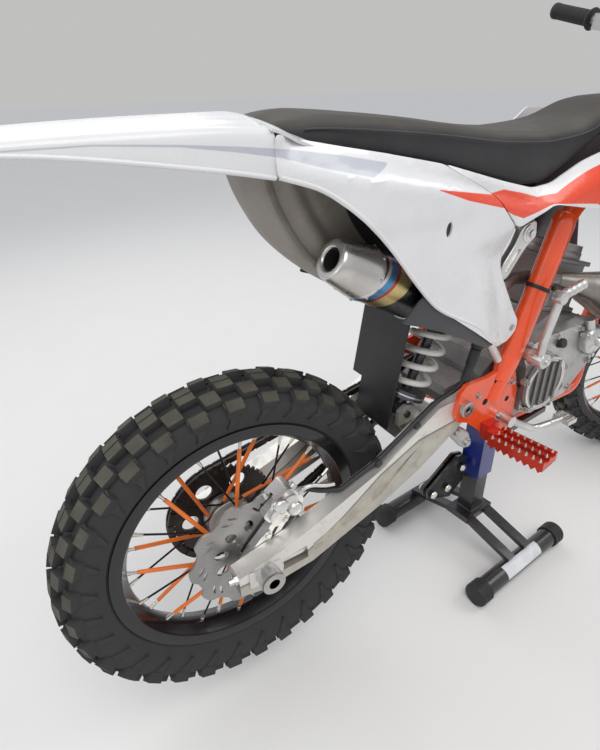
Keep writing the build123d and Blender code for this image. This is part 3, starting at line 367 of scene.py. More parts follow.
BLACK_PLASTIC = Finish("black_moulded_plastic", (0.02, 0.02, 0.022), 0.5, grain=0.3, grain_scale=700,
                       dirt=0.2, dirt_colour=(0.07, 0.068, 0.065))
ENGINE_GREY = Finish("grey_engine_casting", (0.34, 0.335, 0.33), 0.4, 0.6, grain=0.3, grain_scale=600,
                     dirt=0.3)
ANODISED = Finish("dark_anodised", (0.10, 0.10, 0.11), 0.34, 0.7)
CHROME = Finish("hard_chrome", (0.80, 0.80, 0.82), 0.08, 1, grain=0)
SPRING_WHITE = Finish("spring_paint", (0.72, 0.70, 0.65), 0.34, 0, 0.4, dirt=0.25)
STAND_BLACK = Finish("black_stand_paint", (0.018, 0.018, 0.02), 0.3, 0, 0.3, grain=0.15, grain_scale=260,
                     dirt=0.12, dirt_colour=(0.12, 0.11, 0.1))
STAND_BLUE = Finish("blue_stand_paint", (0.006, 0.02, 0.20), 0.3, 0, 0.5, grain=0.1)

TYRE_TOP = Finish("dusty_lug_tops", (0.072, 0.068, 0.05), 0.8, shade=0.6, grain=0.35, grain_scale=300,
                  dirt=0.5, dirt_colour=(0.13, 0.12, 0.088))
GUARD_GREY = Finish("dark_guard_plastic", (0.045, 0.046, 0.05), 0.4, grain=0.15, dirt=0.2,
                    dirt_colour=(0.09, 0.085, 0.08))
PEG_RED = Finish("red_anodised_peg", (0.60, 0.028, 0.008), 0.3, 0.6, 0.2, shade=0.8, grain=0.1, dirt=0.1)
SEAT_PIPING = Finish("seat_seam_thread", (0.05, 0.05, 0.052), 0.7, grain=0.2)
BROWN_PIN = Finish("tempered_pin_cover", (0.30, 0.19, 0.09), 0.42, 0.5, dirt=0.2)
HOLE_BLACK = Finish("unlit_hole", (0.006, 0.006, 0.006), 0.9, grain=0)
RED_PLASTIC = Finish("orange_red_plastic", (0.74, 0.07, 0.015), 0.34, 0, 0.2, shade=0.9, grain=0.05,
                     dirt=0.05)
INNER_GREY = Finish("dusty_inner_plastic", (0.24, 0.215, 0.185), 0.55, grain=0.35, grain_scale=400,
                    dirt=0.5, dirt_colour=(0.33, 0.285, 0.235))
PIPE_STEEL = Finish("worn_pipe_steel", (0.30, 0.28, 0.25), 0.36, 0.9, shade=0.6, mottle=9, grain=0.15,
                    dirt=0.35, dirt_colour=(0.12, 0.09, 0.06))


@dataclass(frozen=True)
class Striped(Finish):
    """Glossy plastic with a second colour between two lines seen from the side, and painted shade in a
    recessed channel.
    """

    second: Colour = (0.74, 0.055, 0.012)
    upper: tuple[Flat, ...] = ()
    lower: tuple[Flat, ...] = ()
    reach: Flat = (-1000, 1000)
    channel: tuple[tuple[Flat, ...], ...] = ()
    # Blue-grey painted shade that stands in for the recessed channel.
    channel_shade_colour: Colour = (0.40, 0.42, 0.47)

    def base(self, nodes: Nodes) -> Value:
        """Plastic with the band, and painted shade over the recessed channel."""
        plain = Finish.base(self, nodes)
        x, _, z = nodes.machine()
        above = nodes.line(x, self.upper)
        below = nodes.line(x, self.lower)
        inside = (z - below).step(-0.5, 0.5) * (above - z).step(-0.5, 0.5)
        inside = inside * (x - self.reach[0]).step(-0.5, 0.5) * (self.reach[1] - x).step(-0.5, 0.5)
        colour = nodes.mix(inside, plain, self.second)
        # Painted shade: the channel is greyed where its recess would lie in shade.
        if self.channel:
            top, bottom = nodes.line(x, self.channel[0]), nodes.line(x, self.channel[1])
            groove = (z - bottom).step(-0.6, 0.6) * (top - z).step(-0.6, 0.6) * (-457 - x).step(0, 2)
            colour = nodes.mix(groove * 0.85, colour, self.channel_shade_colour)
        return colour


@dataclass(frozen=True)
class SeatCover(Finish):
    """Gripping cover: dusty top above the seam, dark sides, and fine pimples."""

    top: Colour = (0.062, 0.055, 0.047)
    seat_top: tuple[Flat, ...] = ()

    def base(self, nodes: Nodes) -> Value:
        """Cover's colour by height below the seat's top line."""
        x, _, z = nodes.machine()
        drop = nodes.line(x, self.seat_top) - z
        dust = nodes.noise(nodes.place(), 9, 6, 0.6)
        fade = dust * 6 - 3
        upper = (drop + fade).step(20, 8)
        sides = Finish.base(self, nodes)
        worn = nodes.mix(dust.step(0.3, 0.7), self.top, tuple(c * 0.75 for c in self.top))
        return nodes.mix(upper, sides, worn)

    def relief(self, nodes: Nodes) -> Value:
        """Pimpled cover over broad soft creases."""
        creases = nodes.bump(nodes.noise(nodes.place((1, 0.5, 1)), 12, 3), 0.22, 0.004)
        spots = nodes.node("ShaderNodeTexVoronoi", {}, {"Vector": nodes.place(), "Scale": 420})
        return nodes.bump(spots, 0.22, 0.0005, creases)


@dataclass(frozen=True)
class ArmCast(Finish):
    """Sand-cast arm with a painted highlight along its upper ridge over painted shade in its groove."""

    ridge: tuple[Flat, ...] = ((-640, 362), (-580, 364), (-503, 401), (-424, 453), (-341, 488), (-250, 498))

    def base(self, nodes: Nodes) -> Value:
        """Warm cast metal, lighter above the groove as a painted highlight, with painted shade in the
        groove.
        """
        plain = Finish.base(self, nodes)
        x, _, z = nodes.machine()
        drop = nodes.line(x, self.ridge) - z
        # Painted highlight: the side above the groove is lightened where light falls on the ridge.
        bright = nodes.mix((18 - drop).step(-2, 3), plain, (0.78, 0.76, 0.72))
        # Painted shade: the groove is darkened where shade falls in it.
        groove = (drop - 16).step(0, 2.5) * (24 - drop).step(0, 5)
        return nodes.mix(groove * 0.75, bright, (0.16, 0.145, 0.12))


@dataclass(frozen=True)
class LidCast(Finish):
    """Bright cover casting whose round lid is painted dark."""

    centre: Flat = LID
    radius: float = LID_RADIUS

    def base(self, nodes: Nodes) -> Value:
        """Dark inside the lid's circle."""
        plain = Finish.base(self, nodes)
        x, y, z = nodes.machine()
        across, up = x - self.centre[0], z - self.centre[1]
        lid = (self.radius ** 2 - across * across - up * up).step(-60, 60) * (-106.5 - y).step(0, 1)
        return nodes.mix(lid, plain, (0.2, 0.197, 0.19))


@dataclass(frozen=True)
class Brushed(Finish):
    """Rolled can with plain diagonal colour bands, and an end cone brushed round its axis."""

    def base(self, nodes: Nodes) -> Value:
        """Dark can with diagonal colour bands and a bare metal end cone."""
        plain = Finish.base(self, nodes)
        x, y, z = nodes.machine()
        along = x * -0.876 + z * 0.482 - (322 * 0.876 + 706 * 0.482)
        slant = along + (z - 760) * 0.5 - y * 0.3
        bands = (
            (152, 182, (0.62, 0.50, 0.22)), (182, 188, (0.60, 0.06, 0.02)), (188, 204, (0.10, 0.30, 0.55)),
            (204, 211, (0.72, 0.73, 0.74)),
        )
        colour = nodes.mix((along - 162).step(-0.6, 0.6), (0.06, 0.062, 0.066), plain)
        for start, end, paint in bands:
            share = (slant - start).step(-0.6, 0.6) * (end - slant).step(-0.6, 0.6)
            colour = nodes.mix(share, colour, paint)
        return colour

    def relief(self, nodes: Nodes) -> Value:
        """Fine brushing."""
        return nodes.bump(nodes.noise(nodes.place((160, 1, 160), (0, -0.503, 0)), 9, 2), 0.1, 0.0004)


LIVERY = Striped(
    "white_panel_with_red_flash", WHITE, 0.26, 0, 0.3, shade=0.96, grain=0.03, dirt=0.05,
    dirt_colour=WHITE_DUST,
    upper=((-399, 889), (-349, 880), (-298, 870.5), (-220, 860)),
    lower=((-399, 888), (-347, 870), (-279, 852), (-220, 838)), reach=(-399, -220),
    # Two lines that bound the channel's painted shade.
    channel=(((-770, 962), (-694, 957), (-639, 952), (-595, 947), (-518, 934), (-457, 921.5)),
             ((-770, 960.5), (-696, 955), (-642, 947), (-598, 939), (-549, 925), (-491, 911),
              (-457, 920.5))),
)
SHROUD_LIVERY = Striped(
    "red_and_white_shroud", WHITE, 0.26, 0, 0.3, shade=0.96, grain=0.03, dirt=0.05, dirt_colour=WHITE_DUST,
    upper=((-352, 882), (-301, 871.5), (-248, 868), (-200, 857), (-168, 848), (-125, 848),
           (-13, 890), (60, 925), (160, 933), (250, 893), (300, 826), (330, 760)),
    lower=((-352, 880), (-282, 853), (-249, 838), (-222, 829), (-138, 836), (-38, 824),
           (60, 783), (150, 712), (246, 655), (330, 650)), reach=(-352, 330),
)
SEAT_COVER = SeatCover(
    "seat_cover_fabric", (0.026, 0.026, 0.028), 0.72, shade=0.8, dirt=0.12, dirt_colour=(0.09, 0.08, 0.07),
    seat_top=((-574, 974), (-530, 978), (-430, 969), (-346, 959), (-240, 944), (-130, 936),
              (-36, 941), (60, 967), (126, 976)),
)
# Cast arm with a painted highlight on its ridge and painted shade in its groove.
ARM_CAST = ArmCast("ridged_arm_casting", (0.56, 0.53, 0.47), 0.42, 0.8, shade=0.86, mottle=30, grain=0.3,
                   grain_scale=900, dirt=0.3)
COVER_CAST = LidCast("engine_cover_casting", (0.55, 0.545, 0.53), 0.36, 0.75, shade=0.75, grain=0.25,
                     grain_scale=700, dirt=0.25)
SILENCER = Brushed("brushed_silencer", (0.62, 0.60, 0.57), 0.28, 0.95, shade=0.86, dirt=0.18,
                   dirt_colour=(0.20, 0.16, 0.12))
BLANK_LABEL = Finish("blank_label", (0.70, 0.71, 0.73), 0.4, grain=0.03, dirt=0.1)

NODE_FINISHES = (
    # Finish, then the CAD nodes that stay in the picture with it
    (ORANGE_PAINT, ("steering_head", "spar_left", "spar_right", "cradle")),
    (ARM_CAST, ("swingarm",)),
    (COVER_CAST, ("clutch_cover",)),
    (PEG_RED, ("footpegs",)),
    (CAST, ("triple_clamps",)),
    (BRIGHT_CAST, ("subframe", "rear_caliper", "front_caliper", "gear_lever", "kick_lever", "brake_pedal")),
    (ENGINE_GREY, ("engine_block", "cylinder")),
    (STEEL, ("pivot_bolt", "rear_axle", "front_axle", "handlebar", "levers")),
    (DARK_STEEL, ("chain", "drive_sprocket", "rear_sprocket")),
    (PIPE_STEEL, ("exhaust_pipe",)),
    (ANODISED, ("shock_body", "radiators")),
    (CHROME, ("fork_tubes",)),
    (CAST, ("fork_legs",)),
    (BLACK_PLASTIC, ("airbox", "mudflap", "rear_brake_hose")),
    (STAND_BLACK, ("stand_column", "stand_feet", "stand_legs")),
    (STAND_BLUE, ("stand_sleeve",)),
)


def paint_nodes() -> None:
    """Give every CAD node that stays in the picture its finish."""
    for finish, names in NODE_FINISHES:
        for name in names:
            for entry in bpy.data.objects[name].material_slots:
                entry.material = finish.build()


# Modelling


class Bench:
    """Modelling operators, in millimetres, shared by every sub-assembly."""

    @staticmethod
    def clear() -> None:
        """Leave edit mode and deselect everything."""
        if bpy.context.object is not None and bpy.context.object.mode != "OBJECT":
            bpy.ops.object.mode_set(mode="OBJECT")
        bpy.ops.object.select_all(action="DESELECT")

    @classmethod
    def hold(cls, piece: Piece) -> None:
        """Make a piece the only selected and the active one."""
        cls.clear()
        piece.select_set(True)
        bpy.context.view_layer.objects.active = piece

    @classmethod
    def edit(cls, piece: Piece) -> None:
        """Open a piece in edit mode with all of it selected."""
        cls.hold(piece)
        bpy.ops.object.mode_set(mode="EDIT")
        bpy.ops.mesh.select_all(action="SELECT")

    @classmethod
    def done(cls) -> Piece:
        """Leave edit mode.

        Returns:
            The piece that was open.
        """
        bpy.ops.object.mode_set(mode="OBJECT")
        return bpy.context.object

    @classmethod
    def ring(cls, points: Sequence[Point], filled: bool = False) -> Piece:
        """Closed outline through points, from a circle with as many corners."""
        cls.clear()
        bpy.ops.mesh.primitive_circle_add(vertices=len(points), fill_type="NGON" if filled else "NOTHING")
        piece = bpy.context.object
        for corner, point in zip(piece.data.vertices, points):
            corner.co = point
        return piece

    @classmethod
    def clean(cls, piece: Piece, gap: float = 0.01) -> Piece:
        """Merge doubles and point all faces outwards."""
        cls.edit(piece)
        bpy.ops.mesh.remove_doubles(threshold=gap)
        bpy.ops.mesh.normals_make_consistent(inside=False)
        return cls.done()

    @classmethod
    def lathe(cls, profile: Sequence[Flat], steps: int = 64) -> Piece:
        """Solid of revolution about Y.

        Args:
            profile: Closed outline as radius and place along Y.
            steps: Facets round the axis.

        Returns:
            The closed solid, about the origin.
        """
        piece = cls.ring([(r, y, 0) for r, y in profile])
        cls.edit(piece)
        bpy.ops.mesh.spin(steps=steps, angle=FULL_TURN, center=(0, 0, 0), axis=LEFTWARD)
        cls.done()
        return cls.clean(piece)

    @classmethod
    def around(cls, piece: Piece, count: int) -> Piece:
        """Copies of the whole piece, spaced evenly about Y."""
        cls.edit(piece)
        turn = FULL_TURN * (count - 1) / count
        bpy.ops.mesh.spin(steps=count - 1, dupli=True, angle=turn, center=(0, 0, 0), axis=LEFTWARD)
        return cls.done()

    @classmethod
    def slab(cls, outline: Sequence[Flat], low: float, high: float) -> Piece:
        """Plate with a side outline of X, Z points, between two places in Y."""
        piece = cls.ring([(x, low, z) for x, z in outline], filled=True)
        cls.edit(piece)
        bpy.ops.mesh.extrude_region_move(TRANSFORM_OT_translate={"value": (0, high - low, 0)})
        bpy.ops.mesh.select_all(action="SELECT")
        bpy.ops.mesh.normals_make_consistent(inside=False)
        return cls.done()

    @classmethod
    def block(cls, centre: Point, size: Point) -> Piece:
        """Rectangular start for a piece, at its size and place."""
        cls.clear()
        bpy.ops.mesh.primitive_cube_add(size=1, location=centre, scale=size)
        bpy.ops.object.transform_apply(location=True, rotation=True, scale=True)
        return bpy.context.object

    @classmethod
    def drum(cls, start: Vector | Point, end: Vector | Point, radius: float, steps: int = 24,
             tip: float | None = None) -> Piece:
        """Round start for a piece between two points, tapered where a tip radius is given."""
        cls.clear()
        start, end = Vector(start), Vector(end)
        run = end - start
        turn = run.to_track_quat("Z", "Y").to_euler()
        bpy.ops.mesh.primitive_cone_add(vertices=steps, radius1=radius,
                                        radius2=radius if tip is None else tip,
                                        depth=run.length, location=(start + end) / 2, rotation=turn)
        bpy.ops.object.transform_apply(location=True, rotation=True, scale=True)
        return bpy.context.object

    @classmethod
    def pipe(cls, points: Sequence[Vector | Point], radius: float, steps: int = 5, smooth: bool = True,
             radii: Sequence[float] | None = None) -> Piece:
        """Round tube along points, smooth or with straight runs.

        Args:
            points: Its route.
            radius: Half its thickness.
            steps: Facets of a quarter of its section.
            smooth: Whether the route is rounded.
            radii: A share of the radius at each point.

        Returns:
            The tube as a closed mesh.
        """
        cls.clear()
        bpy.ops.curve.primitive_nurbs_path_add()
        piece = bpy.context.object
        curve = piece.data
        curve.splines.clear()
        spline = curve.splines.new("NURBS" if smooth else "POLY")
        spline.points.add(len(points) - 1)
        for number, point in enumerate(points):
            spline.points[number].co = (*point, 1)
            spline.points[number].radius = 1 if radii is None else radii[number]
        if smooth:
            spline.order_u = min(4, len(points))
            spline.use_endpoint_u = True
            spline.resolution_u = 8
        curve.bevel_depth = radius
        curve.bevel_resolution = steps
        curve.use_fill_caps = True
        bpy.ops.object.convert(target="MESH")
        return cls.clean(bpy.context.object)

    @classmethod
    def skin(cls, columns: int, rows: int, place: Callable[[float, float], Point]) -> Piece:
        """Grid whose points go where a function of two shares, each 0 to 1, says."""
        cls.clear()
        bpy.ops.mesh.primitive_grid_add(x_subdivisions=columns, y_subdivisions=rows, size=2)
        piece = bpy.context.object
        for corner in piece.data.vertices:
            corner.co = place((corner.co.x + 1) / 2, (corner.co.y + 1) / 2)
        return piece

    @classmethod
    def pick(cls, piece: Piece, wanted: Callable[[bpy.types.MeshPolygon], bool]) -> None:
        """Open a piece in edit mode with only the wanted faces selected."""
        cls.edit(piece)
        bpy.ops.mesh.select_mode(type="FACE")
        bpy.ops.mesh.select_all(action="DESELECT")
        bpy.ops.object.mode_set(mode="OBJECT")
        for face in piece.data.polygons:
            face.select = wanted(face)
        bpy.ops.object.mode_set(mode="EDIT")

    @classmethod
    def loft(cls, columns: int, rows: int, place: Callable[[float, float], Point]) -> Piece:
        """Closed solid from a skin that is wrapped round itself and capped at both ends."""
        piece = cls.skin(columns, rows, place)
        cls.edit(piece)
        bpy.ops.mesh.remove_doubles(threshold=0.01)
        bpy.ops.mesh.fill_holes(sides=0)
        bpy.ops.mesh.select_all(action="SELECT")
        bpy.ops.mesh.normals_make_consistent(inside=False)
        return cls.done()

    @classmethod
    def panel(cls, outline: Sequence[Flat], face_y: Callable[[float, float], float], thickness: float,
              step: float = 7) -> Piece:
        """Moulded sheet: an outline in side view, laid on a face given as a place along Y."""
        xs, zs = [p[0] for p in outline], [p[1] for p in outline]
        low, high = (min(xs) - 2, min(zs) - 2), (max(xs) + 2, max(zs) + 2)
        columns = math.ceil((high[0] - low[0]) / step)
        rows = math.ceil((high[1] - low[1]) / step)
        sheet = cls.skin(columns, rows, lambda u, v: (low[0] + (high[0] - low[0]) * u, 0,
                                                      low[1] + (high[1] - low[1]) * v))
        cls.modify(sheet, "SOLIDIFY", thickness=thickness, offset=0)
        cls.clean(sheet)
        tool = cls.slab(outline, -50, 50)
        cls.modify(sheet, "BOOLEAN", operation="INTERSECT", object=tool, solver="EXACT")
        bpy.data.objects.remove(tool, do_unlink=True)
        cls.bevel(sheet, min(0.9, thickness * 0.3), 2, 50)
        for corner in sheet.data.vertices:
            corner.co.y += face_y(corner.co.x, corner.co.z)
        return sheet

    @classmethod
    def bolt(cls, place: Point, out: Point, radius: float, socket: bool = False) -> Piece:
        """Washer and bolt head that stand out of a face, with six sides or a round socket head."""
        start, away = Vector(place), Vector(out).normalized()
        washer = cls.drum(start - away * 0.6, start + away * 0.9, radius * 1.45, 28)
        tall = radius * (0.85 if socket else 0.62)
        head = cls.drum(start + away * 0.5, start + away * (0.9 + tall), radius, 24 if socket else 6)
        cls.pick(head, lambda face: face.normal.dot(away) > 0.9)
        bpy.ops.mesh.inset(thickness=radius * (0.42 if socket else 0.2), depth=0)
        bpy.ops.mesh.inset(thickness=radius * 0.04, depth=-radius * (0.5 if socket else 0.12))
        cls.done()
        piece = cls.join([washer, head])
        return cls.bevel(piece, radius * 0.09, 2, 40)

    @classmethod
    def modify(cls, piece: Piece, kind: str, **settings: object) -> Piece:
        """Add a modifier, give it its settings and apply it."""
        cls.hold(piece)
        modifier = piece.modifiers.new(kind.lower(), kind)
        for key, value in settings.items():
            setattr(modifier, key, value)
        bpy.ops.object.modifier_apply(modifier=modifier.name)
        return piece

    @classmethod
    def bevel(cls, piece: Piece, width: float, segments: int = 2, angle: float = 35) -> Piece:
        """Round the edges that turn by more than an angle."""
        return cls.modify(piece, "BEVEL", width=width, segments=segments, limit_method="ANGLE",
                          angle_limit=math.radians(angle), harden_normals=False)

    @classmethod
    def subdivide(cls, piece: Piece, levels: int) -> Piece:
        """Smooth a piece by subdivision."""
        return cls.modify(piece, "SUBSURF", levels=levels, render_levels=levels)

    @classmethod
    def cut(cls, piece: Piece, tool: Piece) -> Piece:
        """Take one shape out of another."""
        cls.modify(piece, "BOOLEAN", operation="DIFFERENCE", object=tool, solver="EXACT")
        bpy.data.objects.remove(tool, do_unlink=True)
        return piece

    @classmethod
    def join(cls, pieces: Sequence[Piece]) -> Piece:
        """Make several meshes one piece."""
        cls.clear()
        for piece in pieces:
            piece.select_set(True)
        bpy.context.view_layer.objects.active = pieces[0]
        if len(pieces) > 1:
            bpy.ops.object.join()
        return bpy.context.object

    @classmethod
    def copy(cls, piece: Piece, matrix: Matrix) -> Piece:
        """A copy with its own mesh, moved by a matrix."""
        cls.hold(piece)
        bpy.ops.object.duplicate()
        twin = bpy.context.object
        return cls.move(twin, matrix)

    @classmethod
    def mirrored(cls, piece: Piece) -> Piece:
        """The same piece on the machine's other side."""
        twin = cls.copy(piece, Matrix.Scale(-1, 4, LEFTWARD))
        cls.edit(twin)
        bpy.ops.mesh.normals_make_consistent(inside=False)
        return cls.done()

    @staticmethod
    def move(piece: Piece, matrix: Matrix) -> Piece:
        """Move a piece's mesh by a matrix."""
        piece.data.transform(matrix)
        piece.data.update()
        return piece

    @classmethod
    def hand_over(cls, made: Piece | list[Piece], name: str, body: Body, finish: Finish, slot: str,
                  replaces: Sequence[str] = (), place: Matrix | None = None, angle: float = 40) -> Piece:
        """Bring a finished piece into the frame, joined where it is made of several.

        Args:
            made: The mesh or meshes, in millimetres.
            name: Its name.
            body: The body it rides on.
            finish: Its surface.
            slot: Name of a material slot; not used.
            replaces: CAD nodes it stands for.
            place: Where it goes on the machine.
            angle: Edges that turn by more stay sharp.

        Returns:
            The piece.
        """
        piece = cls.join(made) if isinstance(made, list) else made
        cls.move(piece, to_frame() @ (place or Matrix.Identity(4)))
        cls.hold(piece)
        bpy.ops.object.shade_smooth_by_angle(angle=math.radians(angle))
        piece.name = name
        piece.data.name = name
        piece.data.materials.clear()
        piece.data.materials.append(finish.build())
        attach(piece, body.value)
        if replaces:
            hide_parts(*replaces)
        triangles = sum(len(p.vertices) - 2 for p in piece.data.polygons)
        log.info("%s: %d triangles on %s", name, triangles, body.value)
        return piece


def glide(table: Sequence[Sequence[float]], place: float) -> list[float]:
    """Sizes at a place, run smoothly through a table's rows.

    Args:
        table: Rows that start with their place, in rising order.
        place: Where the sizes are wanted.

    Returns:
        The row's other columns.
    """
    place = min(max(place, table[0][0]), table[-1][0])
    index = max(number for number, row in enumerate(table[:-1]) if row[0] <= place)
    low, high = table[index], table[index + 1]
    before, after = table[max(index - 1, 0)], table[min(index + 2, len(table) - 1)]
    span = high[0] - low[0]
    share = (place - low[0]) / span
    sizes = []
    for column in range(1, len(low)):
        start = (high[column] - before[column]) / (high[0] - before[0]) * span
        end = (after[column] - low[column]) / (after[0] - low[0]) * span
        rise = high[column] - low[column]
        bend = share * (1 - share) * ((1 - share) * (start - rise) - share * (end - rise))
        sizes.append(low[column] + rise * share + bend)
    return sizes


def ramp(value: float, low: float, high: float) -> float:
    """Smooth share of the way from low to high."""
    share = min(max((value - low) / (high - low), 0), 1)
    return share * share * (3 - 2 * share)


def rounded(outline: Sequence[Flat], radius: float, steps: int = 4) -> list[Flat]:
    """A closed outline with an arc at each corner.

    Args:
        outline: Its corners.
        radius: How far the arc starts from the corner, at most.
        steps: Points of each arc, less one.

    Returns:
        The outline with its corners rounded.
    """
    points = []
    for number, corner in enumerate(outline):
        here = Vector((*corner, 0))
        back = Vector((*outline[number - 1], 0)) - here
        ahead = Vector((*outline[(number + 1) % len(outline)], 0)) - here
        reach = min(radius, back.length * 0.45, ahead.length * 0.45)
        first, last = here + back.normalized() * reach, here + ahead.normalized() * reach
        for step in range(steps + 1):
            share = step / steps
            spot = first * (1 - share) ** 2 + here * 2 * share * (1 - share) + last * share ** 2
            points.append((spot.x, spot.y))
    return points


# Wheels


@dataclass
class SpokedWheel:
    """Knobbly tyre on a laced rim, with hub, carriers and brake disc."""

    name: str
    body: Body
    place: Matrix
    outer_r: float
    half_width: float
    bead_r: float
    rim_half_width: float
    pitches: int
    hub_width: float
    disc_r: float
    disc_y: float
    disc_teeth: int
    carrier_y: float
    carrier_r: float
    spokes: int = 32
    rim_depth: float = 31
    flange_r: float = 40
    lug_height: float = 15

    def build(self) -> None:
        """Make and dress every piece of the wheel."""
        self.make_tyre()
        self.make_rim()
        self.make_hub()
        self.make_spokes()
        self.make_disc()

    def on_tyre(self, along: float, y: float, height: float) -> Point:
        """Point on the casing.

        Args:
            along: Distance round the tread.
            y: Distance across it.
            height: Distance above the casing.

        Returns:
            The point, with the axle along Y at the origin.
        """
        crown = self.outer_r - self.lug_height
        bow = crown - 17 * abs(y / self.half_width) ** 2.3
        lean = math.radians(34) * (y / self.half_width)
        radius = bow + height * math.cos(lean)
        angle = along / self.outer_r
        return (radius * math.sin(angle), y + height * math.sin(lean), radius * math.cos(angle))

    def lug(self, along: float, y: float, length: float, width: float, height: float, slit: bool,
            skew: float = 0) -> Piece:
        """One tread lug with tapered sides, and a slit across its top where asked."""
        piece = Bench.block((0, 0, 0), (1, 1, 1))
        Bench.edit(piece)
        bpy.ops.mesh.select_all(action="DESELECT")
        Bench.done()
        for face in piece.data.polygons:
            face.select = face.normal.z > 0.5
        bpy.ops.object.mode_set(mode="EDIT")
        bpy.ops.mesh.inset(thickness=0.07, depth=0)
        Bench.done()
        for corner in piece.data.vertices:
            up = corner.co.z > 0
            flare = 1 if up else 1.14
            dip = -0.9 if up and slit and abs(corner.co.x) < 0.44 else 0
            top = height + dip if up else -4
            across = y + corner.co.y * width * flare
            corner.co = self.on_tyre(along + corner.co.x * length * flare + skew * corner.co.y, across, top)
        return piece

    def make_tyre(self) -> None:
        """Casing with its bead line and rows of lugs, buttresses and side blocks."""
        seat = self.bead_r - 13.4
        half = self.half_width
        crown = self.outer_r - self.lug_height
        side = [
            (seat, self.rim_half_width - 4.5), (self.bead_r + 2, self.rim_half_width - 3.6),
            (self.bead_r + 4.5, self.rim_half_width + 1),
            (self.bead_r + 7.5, self.rim_half_width + 2.6), (self.bead_r + 9, self.rim_half_width + 2.2),
            (self.bead_r + 24, half - 7),
            (self.bead_r + 38, half - 3.4), (crown - 19, half - 2.4), (crown - 8.5, half - 8),
            (crown - 2.4, half * 0.45),
        ]
        profile = side + [(crown, 0)] + [(r, -y) for r, y in reversed(side)] + [(seat - 0.4, 0)]
        casing = Bench.lathe(profile, 4 * self.pitches)
        pitch = FULL_TURN * self.outer_r / self.pitches
        lugs = []
        for sign in (-1, 1):
            lugs.append(self.lug(0, sign * half * 0.17, pitch * 0.44, half * 0.29, self.lug_height - 0.6,
                                 True))
            lugs.append(self.lug(pitch * 0.5, sign * half * 0.50, pitch * 0.42, half * 0.36,
                                 self.lug_height - 0.4, True, sign * 2))
            lugs.append(self.lug(0, sign * half * 0.86, pitch * 0.46, half * 0.27, self.lug_height - 3,
                                 True))
            lugs.append(self.side_block(sign, pitch * 0.5, pitch * 0.50))
            lugs.append(self.buttress(sign, 0, pitch * 0.62))
        cell = Bench.bevel(Bench.join(lugs), 0.9, 2, 25)
        Bench.around(cell, self.pitches)
        tyre = Bench.join([casing, cell])
        tops = [self.on_top(face) for face in tyre.data.polygons]
        Bench.hand_over(tyre, f"{self.name}_knobbly_tyre", self.body, TYRE, "tyre_rubber",
                        [f"{self.name}_tyre"], self.place, 50)
        tyre.data.materials.append(TYRE_TOP.build())
        for face, top in zip(tyre.data.polygons, tops):
            face.material_index = int(top)

    def on_top(self, face: bpy.types.MeshPolygon) -> bool:
        """Whether a face is the worn top of a lug."""
        radius = math.hypot(face.center.x, face.center.z)
        casing = self.outer_r - self.lug_height - 17 * min(1, abs(face.center.y / self.half_width)) ** 2.3
        outward = (face.normal.x * face.center.x + face.normal.z * face.center.z) / radius
        return radius - casing > 6 and outward > 0.6

    def side_block(self, sign: float, along: float, length: float) -> Piece:
        """Low block with a raised square outline on the sidewall, between two shoulder lugs."""
        piece = Bench.block((0, 0, 0), (1, 1, 1))
        for face in piece.data.polygons:
            face.select = face.normal.z > 0.5
        bpy.ops.object.mode_set(mode="EDIT")
        bpy.ops.mesh.select_mode(type="FACE")
        bpy.ops.mesh.inset(thickness=0.16, depth=0)
        bpy.ops.mesh.inset(thickness=0.05, depth=-0.3)
        Bench.done()
        bottom = self.outer_r - self.lug_height - 31
        for corner in piece.data.vertices:
            radius = bottom + 12 + corner.co.y * 24
            out = self.half_width - 4.6 - max(0,
                                              radius - bottom - 10) * 0.42 + (corner.co.z * 6
                                                  if corner.co.z > 0 else -3)
            angle = (along + corner.co.x * length * (1 - 0.18 * corner.co.y)) / self.outer_r
            corner.co = (radius * math.sin(angle), sign * out, radius * math.cos(angle))
        return Bench.clean(piece)

    def buttress(self, sign: float, along: float, length: float) -> Piece:
        """Curved fin that runs from a shoulder lug down the sidewall to a point."""
        crown = self.outer_r - self.lug_height
        outline = [(-0.46, 0), (0.46, 0), (0.40, 12), (0.10, 26), (-0.34, 42), (-0.44, 41), (-0.28, 24),
                   (-0.42, 12)]
        piece = Bench.ring([(x, 0, drop) for x, drop in outline], filled=True)
        Bench.edit(piece)
        bpy.ops.mesh.extrude_region_move(TRANSFORM_OT_translate={"value": LEFTWARD})
        Bench.done()
        for corner in piece.data.vertices:
            radius = crown - 3 - corner.co.z
            rise = 4.6 * (1 - corner.co.z / 46) if corner.co.y > 0.5 else -5
            out = self.half_width - 3.4 - max(0, 10 - corner.co.z) * 0.55 - max(0,
                corner.co.z - 24) * 0.14 + rise
            angle = (along + corner.co.x * length) / self.outer_r
            corner.co = (radius * math.sin(angle), sign * out, radius * math.cos(angle))
        return Bench.clean(piece)

    def make_rim(self) -> None:
        """Extruded rim with flange lips and a raised centre."""
        half, bead = self.rim_half_width, self.bead_r
        seat = bead - 14
        side = [
            (bead - self.rim_depth, 5), (bead - self.rim_depth + 3, 9.5), (seat - 12, half * 0.55),
            (seat - 6.5, half - 4),
            (seat - 5, half - 0.6), (seat - 3, half), (bead - 3, half), (bead, half + 0.2),
            (bead + 0.6, half - 1.4),
            (bead - 0.6, half - 3), (seat, half - 3.4), (seat - 0.4, 13), (seat - 8, 9),
        ]
        profile = side + [(r, -y) for r, y in reversed(side)]
        rim = Bench.lathe(profile, 128)
        Bench.hand_over(rim, f"{self.name}_rim_band", self.body, RIM_BLACK, "rim_black",
                        [f"{self.name}_rim"], self.place)

